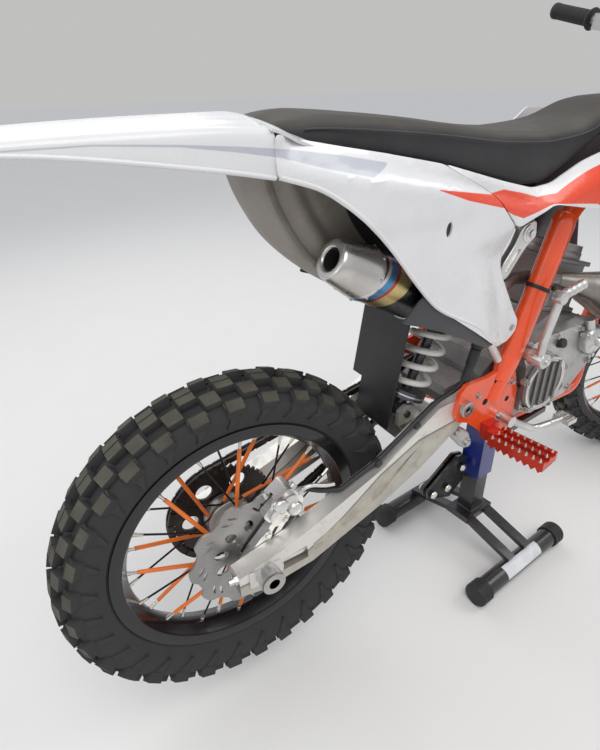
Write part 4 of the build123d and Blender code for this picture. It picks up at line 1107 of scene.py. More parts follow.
    def make_hub(self) -> None:
        """Turned hub shell with flanges and its two carriers."""
        width = self.hub_width
        flange_y = width - 10
        shell = [
            (10.7, -width), (22, -width), (24, -width + 2), (29, -flange_y - 5),
            (self.flange_r - 2, -flange_y - 2.6),
            (self.flange_r, -flange_y), (self.flange_r - 1, -flange_y + 3), (28, -flange_y + 5),
            (22, -flange_y + 14),
            (20.5, 0), (22, flange_y - 14), (28, flange_y - 5), (self.flange_r - 1, flange_y - 3),
            (self.flange_r, flange_y), (self.flange_r - 2, flange_y + 2.6), (29, flange_y + 5),
            (24, width - 2),
            (22, width), (10.7, width),
        ]
        body = Bench.lathe(shell, 64)
        pieces = [body]
        for y, outer in ((self.disc_y, 34), (self.carrier_y, self.carrier_r)):
            sign = math.copysign(1, y)
            inner = sign * (width - 3)
            outer_y = y - sign * 2.3
            pieces.append(Bench.lathe([(19, inner), (outer, inner), (outer, outer_y),
                                       (outer - 5, outer_y + sign * 0.6), (19, outer_y)], 48))
        hub = Bench.bevel(Bench.join(pieces), 0.7, 2, 30)
        Bench.hand_over(hub, f"{self.name}_hub_shell", self.body, CAST, "cast_silver", [f"{self.name}_hub"],
                        self.place)

    def make_spokes(self) -> None:
        """Laced spokes, every second one in an orange cover, with their nipples."""
        flange_y = self.hub_width - 10
        rim_r = self.bead_r - self.rim_depth
        wires, covers, nipples = [], [], []
        for number in range(self.spokes):
            side = 1 if number % 2 else -1
            lean = 38 if (number // 2) % 2 else -38
            rim_angle = FULL_TURN / self.spokes * (number + 0.5)
            hub_angle = rim_angle + math.radians(lean)
            head = Vector(((self.flange_r - 4) * math.cos(hub_angle), side * (flange_y + 2.5),
                           -(self.flange_r - 4) * math.sin(hub_angle)))
            tip = Vector((rim_r * math.cos(rim_angle), side * 5, -rim_r * math.sin(rim_angle)))
            run = (head - tip).normalized()
            wires.append(Bench.drum(tip + run * 4, head, 1.7, 8))
            nipples.append(Bench.drum(tip - run * 1, tip + run * 6, 3.6, 8, 3.3))
            nipples.append(Bench.drum(tip + run * 6, tip + run * 15, 2.7, 8, 2.4))
            if (number // 2) % 2 == 0:
                covers.append(Bench.drum(tip + run * 15.5, head - run * 14, 3.4, 10))
        Bench.hand_over(wires, f"{self.name}_spoke_wires", self.body, SPOKE_BLACK, "rim_black", (),
                        self.place)
        Bench.hand_over(covers, f"{self.name}_spoke_covers", self.body, SPOKE_ORANGE, "orange_plastic", (),
                        self.place)
        Bench.hand_over(nipples, f"{self.name}_nipples", self.body, NIPPLE, "steel", (), self.place)

    def make_disc(self) -> None:
        """Wave-edged disc with slots in two rows and its carrier bolts."""
        teeth = self.disc_teeth
        outline = []
        for number in range(teeth * 12):
            angle = FULL_TURN * number / (teeth * 12)
            wave = math.cos(angle * teeth)
            radius = self.disc_r - 5 + 5 * max(-1, min(1, 1.7 * wave))
            outline.append((radius * math.cos(angle), radius * math.sin(angle)))
        disc = Bench.slab(outline, self.disc_y - 2, self.disc_y + 2)
        tools = []
        for number in range(teeth):
            angle = FULL_TURN * (number + 0.5) / teeth
            window = self.slot_outline(self.disc_r - 52, angle, 17, 24, 0.1)
            tools.append(Bench.slab(window, self.disc_y - 5, self.disc_y + 5))
            for shift, place in ((0.30, self.disc_r - 20), (-0.18, self.disc_r - 24)):
                slit = self.slot_outline(place, angle + shift, 5, 19, 0.9)
                tools.append(Bench.slab(slit, self.disc_y - 5, self.disc_y + 5))
        tools.append(Bench.drum((0, self.disc_y - 5, 0), (0, self.disc_y + 5, 0), 22, 40))
        Bench.cut(disc, Bench.join(tools))
        Bench.bevel(disc, 0.4, 1, 40)
        bolts = []
        for number in range(4):
            angle = math.pi / 4 + math.pi / 2 * number
            x, z = 28 * math.cos(angle), 28 * math.sin(angle)
            sign = math.copysign(1, self.disc_y)
            bolts.append(Bench.drum((x, self.disc_y, z), (x, self.disc_y + sign * 5, z), 5, 12))
        rotor = Bench.join([disc] + bolts)
        Bench.hand_over(rotor, f"{self.name}_wave_disc", self.body, DISC_GREY, "anodised_grey",
                        [f"{self.name}_disc"], self.place)

    @staticmethod
    def slot_outline(radius: float, angle: float, width: float, length: float, skew: float) -> list[Flat]:
        """Rounded slot, at a radius and angle, leaning by a skew."""
        points = []
        for number in range(12):
            turn = FULL_TURN * number / 12
            along = length / 2 * math.cos(turn)
            across = width / 2 * math.sin(turn)
            x = along * math.cos(skew) - across * math.sin(skew)
            z = along * math.sin(skew) + across * math.cos(skew)
            points.append(((radius + x) * math.cos(angle) - z * math.sin(angle),
                           (radius + x) * math.sin(angle) + z * math.cos(angle)))
        return points


# Bodywork


@dataclass
class Bodywork:
    """White fender and side panels, the shrouds, the inner fender and the tank's cap."""

    skin: float = 3
    plan: tuple[Flat, ...] = (
        (-606, 111.5), (-560, 121), (-500, 130), (-440, 136), (-350, 137), (-270, 133),
        (-200, 125), (-150, 117),
    )
    seat_edge: tuple[Flat, ...] = (
        (-606, 963), (-586, 958), (-508, 941), (-451, 930), (-353, 909), (-236, 876),
        (-168, 860), (-125, 861), (-13, 903), (90, 948),
    )
    panel_outline: tuple[Flat, ...] = (
        (-603, 919), (-603, 962), (-586, 957), (-508, 941), (-451, 930), (-353, 909),
        (-304, 880), (-231.5, 815), (-240, 766), (-228, 742), (-177, 674), (-154, 648),
        (-156, 629), (-180, 617), (-213, 621), (-248, 643), (-289, 672), (-374, 730),
        (-415, 769),
        (-469, 833), (-512, 873), (-555, 903),
    )
    lower_edge: tuple[Flat, ...] = (
        (-600, 921), (-555, 905), (-512, 876), (-469, 836), (-415, 772), (-374, 731),
        (-287, 681), (-248, 648), (-210, 624),
    )
    fender_rows: tuple[tuple[float, ...], ...] = (
        # X, half width, crown, shoulder, lower edge
        (-904, 50, 964, 961, 957), (-880, 70, 973, 967, 959), (-820, 79, 976, 969, 955),
        (-760, 87, 977.5, 969.5, 947), (-680, 100, 978, 969, 934), (-640, 107, 978, 967.5, 927),
        (-604, 113, 977.5, 965, 919.5),
    )

    def build(self) -> None:
        """Make every piece of the bodywork."""
        self.make_fender()
        for name, slot, finish, right in (
            ("side_panel", "white_plastic", LIVERY, self.make_panel()),
            ("shroud", "orange_plastic", SHROUD_LIVERY, self.make_shroud()),
        ):
            left = Bench.mirrored(right)
            for side, piece in (("right", right), ("left", left)):
                Bench.hand_over(piece, f"{name}_{side}_moulding", Body.CHASSIS, finish, slot,
                                [f"{name}_{side}"], angle=38)
        self.make_guards()
        self.make_tank()
        self.make_fastenings()
        self.make_hole_shadows()
        self.make_inner_fender()

    def lean(self, x: float, z: float, out: float) -> float:
        """How far the top of a panel leans in, to lie against the seat."""
        below = glide(self.seat_edge, x)[0] - z
        reach = (1 - ramp(-x, 575, 604)) * (1 - ramp(x, -70, 40))
        return (out - SEAT_GAP_Y) * (1 - ramp(below, -4, 32)) * reach

    def panel_face(self, x: float, z: float) -> float:
        """Outer face of the right side panel, as a place along Y."""
        out = glide(self.plan, x)[0]
        below = glide(self.seat_edge, x)[0] - z
        out -= 3 * ramp(below, 7, 13) * (1 - ramp(below, 22, 30)) * ramp(-x, 462, 490)
        beyond = ((x + 327) * 114 + (z - 802) * 50) / 124.5
        under = 814 - z + 0.235 * (x + 276)
        out -= 0.27 * max(0, min(beyond, under * 1.2, 50))
        out += 2.6 * ramp(z, 838, 862) * (1 - ramp(x, -330, -262)) * ramp(-x, 260, 400)
        return -out + self.lean(x, z, out)

    def make_panel(self) -> Piece:
        """Right side panel with its leaning top, channel, facet and rolled lower edge."""
        sheet = Bench.panel(rounded(self.panel_outline, 9), self.panel_face, self.skin)
        roll = []
        for number in range(41):
            place = -600 + 390 * number / 40
            z = glide(self.lower_edge, place)[0]
            roll.append((place, self.panel_face(place, z) + 0.6, z))
        bead = Bench.pipe(roll, 3.2, 3, True)
        hole = Bench.drum((-374, -150, 838), (-374, -110, 838), 6.5, 24)
        Bench.move(hole, at((-374, 0, 838)) @ Matrix.Diagonal((0.8, 1, 1.5, 1))
                   @ at((374, 0, -838)))
        Bench.cut(sheet, hole)
        return Bench.join([sheet, bead])

    def make_fender(self) -> None:
        """Rear fender, a crowned blade whose flanks turn down to meet the side panels."""
        def place(u: float, v: float) -> Point:
            """Point on the fender's outer face."""
            x = -904 + 302.5 * u
            half, crown, shoulder, edge = glide(self.fender_rows, x)
            around = (
                (0, -half, edge), (0.1, -half + 0.6, edge * 0.6 + shoulder * 0.4),
                (0.2, -half + 2.4, edge * 0.12 + shoulder * 0.88 - 1), (0.26, -half + 8, shoulder + 0.6),
                (0.34, -half * 0.78, shoulder + (crown - shoulder) * 0.30),
                (0.42, -half * 0.42, crown - 2.2),
                (0.5, 0, crown),
            )
            across, height = glide(around, min(v, 1 - v))
            ridge = math.exp(-((abs(across) - half * 0.66) / 5) ** 2) * 2.2 * ramp(-x, 600, 640)
            return (x, across if v < 0.5 else -across, height + ridge)

        blade = Bench.skin(44, 64, place)
        Bench.edit(blade)
        bpy.ops.mesh.normals_make_consistent(inside=False)
        Bench.done()
        Bench.modify(blade, "SOLIDIFY", thickness=self.skin, offset=-1 if self.faces_up(blade) else 1)
        Bench.clean(blade)
        Bench.bevel(blade, 0.9, 2, 50)
        beads = []
        for side in (-1, 1):
            route = []
            for number in range(31):
                x = -898 + 295 * number / 30
                half, _, _, edge = glide(self.fender_rows, x)
                route.append((x, side * (half - 1.2), edge + 0.6))
            beads.append(Bench.pipe(route, 2.8, 3, True))
        tongue_rows = ((-604, 112, 974), (-588, 110, 968), (-566, 104, 958.5), (-520, 97, 944),
                       (-440, 92, 927))

        def lay(u: float, v: float) -> Point:
            """Point on the tongue under the seat."""
            x = -605 + 165 * u
            half, crown = glide(tongue_rows, x)
            across = (2 * v - 1) * half
            return (x, across, crown - 9 * (across / half) ** 4)

        tongue = Bench.skin(20, 24, lay)
        Bench.modify(tongue, "SOLIDIFY", thickness=self.skin, offset=0)
        Bench.clean(tongue)
        fender = Bench.join([blade, tongue] + beads)
        Bench.hand_over(fender, "rear_fender_blade", Body.CHASSIS, LIVERY, "white_plastic", ["rear_fender"],
                        angle=38)

    @staticmethod
    def faces_up(sheet: Piece) -> bool:
        """Whether most of a sheet's faces look upwards."""
        return sum(face.normal.z for face in sheet.data.polygons) > 0

    shroud_outline: tuple[Flat, ...] = (
        (-352, 909), (-303, 880.5), (-230, 816.5), (-136, 835), (-27, 814), (60, 772),
        (150, 700), (246, 640), (286, 662), (322, 760), (312, 826), (262, 900),
        (160, 945), (90, 948), (-13, 903), (-125, 861), (-168, 859), (-236, 876),
    )
    shroud_plan: tuple[Flat, ...] = (
        (-352, 137), (-300, 135), (-236, 130.5), (-150, 121), (-60, 118), (20, 129), (90, 146),
        (160, 165), (230, 176), (325, 178),
    )

    def shroud_face(self, x: float, z: float) -> float:
        """Outer face of the right shroud, as a place along Y."""
        out = glide(self.shroud_plan, x)[0]
        middle = 862 - 0.12 * max(0, x + 60)
        away = (z - middle) / 60
        out += 5 * math.exp(-away * away) * ramp(x, -200, 40)
        out -= 10 * ramp(z - middle, 30, 90) * ramp(x, -140, 60)
        out -= 7 * ramp(middle - z, 60, 190) * ramp(x, 60, 200)
        return -out + self.lean(x, z, out)

    def make_shroud(self) -> Piece:
        """Right shroud with a folded scoop line and a thick edge."""
        sheet = Bench.panel(rounded(self.shroud_outline, 12), self.shroud_face, self.skin + 0.6)
        slots = []
        for number in range(3):
            x = 196 + number * 30
            outline = rounded([(x, 742), (x + 10, 744), (x + 26, 800), (x + 15, 800)], 5)
            slots.append(Bench.slab(outline, -200, -150))
        Bench.cut(sheet, Bench.join(slots))
        return sheet

    def make_guards(self) -> None:
        """Dark guards under the side panels' lower edges."""
        outline = rounded([
            (-434, 722), (-395, 707), (-362, 692), (-328, 675), (-290, 654), (-250, 632),
            (-222, 626), (-212, 650), (-262, 700), (-340, 742), (-384, 758), (-404, 752),
        ], 6)
        right = Bench.panel(outline, lambda x, z: self.panel_face(x, z) + 5, 2.6)
        guards = Bench.join([right, Bench.mirrored(right)])
        Bench.hand_over(guards, "panel_guard_edges", Body.CHASSIS, GUARD_GREY, "black_plastic",
                        ["panel_guards"])

    def make_fastenings(self) -> None:
        """Screws that hold the panels, and the dark seams' washers."""
        rows = ((-172, 641, 6),)
        screws = []
        for x, z, radius in rows:
            y = self.panel_face(x, z)
            screws.append(Bench.bolt((x, y + 1, z), RIGHTWARD, radius))
        for x, z, radius in ((60, 860, 5), (236, 700, 5)):
            y = self.shroud_face(x, z)
            screws.append(Bench.bolt((x, y + 1.5, z), RIGHTWARD, radius))
        right = Bench.join(screws)
        left = Bench.mirrored(right)
        Bench.hand_over([right, left], "panel_screws", Body.CHASSIS, STEEL, "steel")

    def make_tank(self) -> None:
        """Blow-moulded tank with rounded shoulders and a ribbed cap."""
        outline = rounded([
            (-119, 824), (-118.4, 865), (-13, 906), (96, 933), (128, 967), (200, 960),
            (276, 916), (282, 895), (170, 869), (20, 834), (-8, 827), (-40, 824),
        ], 16)
        tank = Bench.slab(outline, -65.8, 65.8)
        shoulders = Bench.ring([(-135, y, z) for y, z in rounded([
            (-65.8, 815), (-65.8, 926), (-40, 975), (40, 975), (65.8, 926), (65.8, 815),
        ], 16)], filled=True)
        Bench.edit(shoulders)
        bpy.ops.mesh.extrude_region_move(TRANSFORM_OT_translate={"value": (440, 0, 0)})
        bpy.ops.mesh.select_all(action="SELECT")
        bpy.ops.mesh.normals_make_consistent(inside=False)
        Bench.done()
        Bench.modify(tank, "BOOLEAN", operation="INTERSECT", object=shoulders, solver="EXACT")
        bpy.data.objects.remove(shoulders, do_unlink=True)
        Bench.bevel(tank, 5, 4, 40)
        cap = Bench.lathe([(0.01, 0), (33, 0), (33, 5), (30, 6.5), (30, 31), (28, 33.6), (20, 34),
                           (18, 32), (0.01, 32)], 64)
        ribs = Bench.around(Bench.block((30, 18, 0), (3, 22, 3.4)), 16)
        cap = Bench.join([cap, Bench.bevel(ribs, 0.9, 2)])
        Bench.move(cap, at((176, 0, 957.8)) @ turned(90, "X"))
        Bench.hand_over([tank, cap], "moulded_tank", Body.CHASSIS, BLACK_PLASTIC, "black_plastic", ["tank"])

    def make_hole_shadows(self) -> None:
        """Dark discs behind the oval holes of the side panels, painted shade that closes them."""
        # Painted shade: dark plastic discs stand where the holes would show shade.
        disc = Bench.drum((0, 1.2, 0), (0, -1.2, 0), 8.2, 32)
        face = self.panel_face(-374, 838) + 3.4
        Bench.move(disc, at((-374, face, 838)) @ Matrix.Diagonal((0.9, 1, 1.45, 1)))
        discs = Bench.join([disc, Bench.mirrored(disc)])
        Bench.hand_over(discs, "panel_hole_backs", Body.CHASSIS, GUARD_GREY, "black_plastic")

    def make_inner_fender(self) -> None:
        """Folded inner fender that closes the space behind the silencer."""
        edge = ((0, -590, 916), (0.25, -574, 872), (0.5, -541, 818), (0.75, -494, 774), (1, -440, 738))
        half = 52

        def place(u: float, v: float) -> Point:
            """Point on the gutter: right wall, back and left wall."""
            x, z = glide(edge, u)
            run = min(v, 1 - v) * 2
            deep = 100 * (1 - u * 0.35)
            if run < 0.55:
                share = run / 0.55
                forward = deep * (1 - share)
                fold = 4.2 * math.sin(forward / 6.5) * ramp(forward, 4, 12) * (1 - ramp(forward, 40, 60))
                across, along = -half + fold, forward
            else:
                share = (run - 0.55) / 0.45
                across, along = -half * (1 - share), -6 * math.sin(share * math.pi / 2)
            return (x + along * 0.93, across if v < 0.5 else -across, z + along * 0.36)

        gutter = Bench.skin(28, 96, place)
        Bench.modify(gutter, "SOLIDIFY", thickness=2.4, offset=0)
        Bench.clean(gutter)
        Bench.hand_over(gutter, "inner_fender_gutter", Body.CHASSIS, INNER_GREY, "black_plastic")


# Seat


@dataclass
class Seat:
    """Long foam seat in a gripping cover, with a sewn line under its top."""

    rows: tuple[tuple[float, ...], ...] = (
        # X, half width, top, bottom
        (-574, 44, 968, 958), (-562, 70, 974, 951), (-530, 84, 976, 939),
        (-430, 91, 967, 919), (-346, 91, 957, 901), (-240, 90, 942, 872),
        (-165, 88, 936, 858), (-120, 84, 934, 858), (-13, 74, 942, 898),
        (60, 61, 966, 927), (98, 55, 975, 936), (126, 46, 970, 966),
    )
    swell: float = 5
    voxel: float = 5

    def place(self, u: float, v: float) -> Point:
        """Point on the foam, with u along the seat and v round it from the bottom's middle."""
        x = self.rows[0][0] + (self.rows[-1][0] - self.rows[0][0]) * u
        half, top, bottom = glide(self.rows, x)
        depth = top - bottom
        drop = min(15, depth * 0.55)
        around = (
            (0, 0, bottom + min(4, depth * 0.2)), (0.14, -half * 0.9, bottom + min(3, depth * 0.2)),
            (0.18, -half, bottom + depth * 0.12),
            (0.27, -half - 1, bottom + depth * 0.5), (0.33, -half + 1, top - drop),
            (0.38, -half + 9, top - drop * 0.36), (0.44, -half * 0.5, top - 2.4), (0.5, 0, top),
        )
        across, height = glide(around, min(v, 1 - v))
        return (x, across if v < 0.5 else -across, height)

    def build(self) -> None:
        """Make the foam, blow its cover tight and sew its line."""
        foam = Bench.loft(90, 72, self.place)
        Bench.modify(foam, "REMESH", mode="VOXEL", voxel_size=self.voxel)
        Bench.clean(foam)
        self.blow(foam)
        Bench.subdivide(foam, 1)
        Bench.hand_over(foam, "seat_cover_and_foam", Body.CHASSIS, SEAT_COVER, "seat_cover", ["seat"],
                        angle=60)
        lines = []
        for side in (-1, 1):
            run = []
            for number in range(61):
                x = -548 + 640 * number / 60
                half, top, bottom = glide(self.rows, x)
                drop = min(15, (top - bottom) * 0.55)
                run.append((x, side * (half + 0.4), top - drop - 1))
            lines.append(Bench.pipe(run, 1.1, 2, True))
        Bench.hand_over(lines, "seat_piping", Body.CHASSIS, SEAT_PIPING, "seat_cover")

    def blow(self, foam: Piece) -> None:
        """Run cloth with pressure for a few frames and keep a limited part of its swelling."""
        start = [corner.co.copy() for corner in foam.data.vertices]
        foam.data.transform(Matrix.Scale(0.001, 4))
        Bench.hold(foam)
        cloth = foam.modifiers.new("cloth", "CLOTH")
        cloth.settings.use_pressure = True
        cloth.settings.uniform_pressure_force = 4
        cloth.settings.effector_weights.gravity = 0
        cloth.settings.quality = 5
        cloth.settings.tension_stiffness = 40
        cloth.settings.compression_stiffness = 40
        cloth.settings.bending_stiffness = 6
        scene = bpy.context.scene
        for frame in range(1, 21):
            scene.frame_set(frame)
        bpy.ops.object.modifier_apply(modifier=cloth.name)
        scene.frame_set(1)
        foam.data.transform(Matrix.Scale(1000, 4))
        for corner, before in zip(foam.data.vertices, start):
            move = corner.co - before
            if move.length > self.swell:
                move = move.normalized() * self.swell
            move.z = min(move.z, 2) if before.z > 900 else max(move.z, 0)
            corner.co = before + move * 0.8


# Drive, brake and suspension


@dataclass
class RearSuspension:
    """Swingarm fittings, spring, caliper fittings, hose clips and the axle's blocks."""

    arm_y: float = 102
    low: Vector = field(default_factory=lambda: Vector((-328, -22, 492)))
    high: Vector = field(default_factory=lambda: Vector((-196, -22, 770)))

    def build(self) -> None:
        """Make every piece."""
        self.make_spring()
        self.make_axle_blocks()
        self.make_caliper_fittings()
        self.make_clips()
        self.make_pivot_fittings()

    def make_spring(self) -> None:
        """Round-wire coil spring between the perches, with its adjuster rings."""
        run = (self.high - self.low).normalized()
        turn = run.to_track_quat("Z", "Y").to_matrix().to_4x4()
        place = at(self.low) @ turn
        low, high, pitch, radius = 46, 253.5, 29, 31
        turns = (high - low) / pitch
        points = []
        count = int(turns * 20)
        for number in range(count + 1):
            angle = FULL_TURN * turns * number / count
            points.append((radius * math.cos(angle), radius * math.sin(angle),
                           low + (high - low) * number / count))
        coil = Bench.pipe(points, 5.6, 3, False)
        Bench.move(coil, place)
        Bench.hand_over(coil, "shock_coil", Body.CHASSIS, SPRING_WHITE, "spring_white", ["shock_spring"])
        rings = []
        for along, outer, height in ((31, 36, 4), (36.5, 33, 3), (259.5, 36.2, 5), (268, 34, 6),
                                     (276, 30, 5)):
            ring = Bench.lathe([(12, along), (outer, along), (outer + 0.6, along + height * 0.5),
                                (outer, along + height),
                                (12, along + height)], 48)
            Bench.move(ring, place @ turned(90, "X"))
            rings.append(ring)
        perches = Bench.join(rings)
        Bench.hand_over(perches, "shock_perch_rings", Body.CHASSIS, BRIGHT_CAST, "anodised_grey")

    def make_axle_blocks(self) -> None:
        """Blocks that hold the axle in its slots, adjuster bolts and the axle nut."""
        x, z = REAR_AXLE.x, REAR_AXLE.z
        right, left = [], []
        for side, pieces in ((-1, right), (1, left)):
            low, high = sorted((side * self.arm_y, side * (self.arm_y + 3.2)))
            outline = rounded([(x - 30, z - 17), (x + 24, z - 17), (x + 30, z), (x + 24, z + 17),
                               (x - 30, z + 17)], 4)
            block = Bench.bevel(Bench.slab(outline, low, high), 0.8, 2)
            pieces.append(block)
            pieces.append(Bench.drum((x - 58, side * 90, z), (x - 44.5, side * 90, z), 4.6, 6))
            pieces.append(Bench.drum((x - 50, side * 90, z), (x - 44.5, side * 90, z), 7.5, 6))
        face = -128
        cap = Bench.lathe([(0.01, -3.2), (9, -3.2), (10.4, -2.2), (11.4, 0), (17.4, 0), (19.2, 1.8),
                           (19.4, 20), (0.01, 20)], 48)
        Bench.move(cap, at((x, face + 3.2, z)))
        right.append(cap)
        Bench.hand_over(right + left, "axle_blocks", Body.CHASSIS, BRIGHT_CAST, "cast_silver")

    def make_caliper_fittings(self) -> None:
        """Pins, bleed nipple, banjo bolt and the formed pipe from the caliper."""
        x, z = REAR_AXLE.x, REAR_AXLE.z
        bright = []
        for dx, dz, radius in ((36, 96, 5), (80, 66, 5), (20, 42, 5.5), (52, 60, 4.4)):
            bright.append(Bench.bolt((x + dx, -73, z + dz), RIGHTWARD, radius))
        for dx, dz in ((45.5, 90.8), (70.2, 73.5)):
            dome = Bench.lathe([(0.01, -5), (6, -4.8), (10.5, -3.2), (12.6, 0), (12.6, 8), (0.01, 8)], 32)
            Bench.move(dome, at((x + dx, -76.5, z + dz)))
            bright.append(dome)
        bright.append(Bench.drum((x + 28, -60, z + 106), (x + 22, -62, z + 121), 4, 12, 3))
        route = [(x + 88, -66, z + 96), (x + 98, -70, z + 104), (x + 112, -72, z + 100),
                 (x + 126, -74, z + 92),
                 (x + 142, -78, z + 92)]
        bright.append(Bench.pipe(route, 3.4, 3))
        bright.append(Bench.drum((x + 82, -62, z + 92), (x + 90, -67, z + 98), 6, 6))
        Bench.hand_over(bright, "rear_caliper_fittings", Body.CHASSIS, BRIGHT_CAST, "cast_silver")
        pad = Bench.slab(rounded([(x + 40, z + 76), (x + 66, z + 94), (x + 74, z + 84), (x + 48, z + 64)],
                                 3), -69.6, -66)
        Bench.bevel(pad, 0.6, 2)
        Bench.hand_over(pad, "rear_caliper_pin_cover", Body.CHASSIS, BROWN_PIN, "steel")

    def make_clips(self) -> None:
        """Clips that hold the hose on the arm."""
        clips = []
        for place, z in ((-420, 450.5), (-340, 494)):
            clip = Bench.bevel(Bench.block((place, -83, z), (12, 15, 13)), 2.4, 3)
            Bench.move(clip, at((place, 0, z)) @ turned(-30, "Y")
                       @ at((-place, 0, -z)))
            clips.append(clip)
        Bench.hand_over(clips, "hose_clips", Body.CHASSIS, BLACK_PLASTIC, "rubber_black")

    def make_pivot_fittings(self) -> None:
        """Rings, bolts and holes of the frame's pivot plates, the bracket and linkage bolts."""
        bolts, shadows = [], []
        ring = Bench.lathe([(8, -4), (13.2, -4), (14.6, -2.6), (14.6, 3), (8, 3)], 48)
        Bench.move(ring, at((-248, -108.6, 506)))
        bolts.append(ring)
        for x, z, radius in ((-150, 452, 6.5), (-130, 520, 5), (-168, 408, 5), (-216, 520, 4.5)):
            bolts.append(Bench.bolt((x, -102, z), RIGHTWARD, radius))
        link = Bench.slab(rounded([(-262, 446), (-246, 462), (-214, 436), (-204, 410), (-222, 400),
                                   (-244, 424)], 9), -92, -82)
        Bench.bevel(link, 1.6, 3)
        bolts.append(link)
        bolts.append(Bench.bolt((-248, -92, 448), RIGHTWARD, 7))
        bolts.append(Bench.bolt((-216, -92, 412), RIGHTWARD, 7))
        right = Bench.join(bolts)
        left = Bench.mirrored(right)
        Bench.hand_over([right, left], "pivot_bolts_and_links", Body.CHASSIS, STEEL, "steel")
        for x, z, radius in ((-196, 500, 7), (-136, 486, 6), (-176, 536, 5)):
            hole = Bench.lathe([(0.01, -0.4), (radius - 1, -0.4), (radius, 0.3), (0.01, 0.3)], 32)
            shadows.append(Bench.move(hole, at((x, -102, z))))
        right = Bench.join(shadows)
        Bench.hand_over([right, Bench.mirrored(right)], "pivot_plate_holes", Body.CHASSIS, HOLE_BLACK,
                        "black_plastic")


# Frame, engine and exhaust


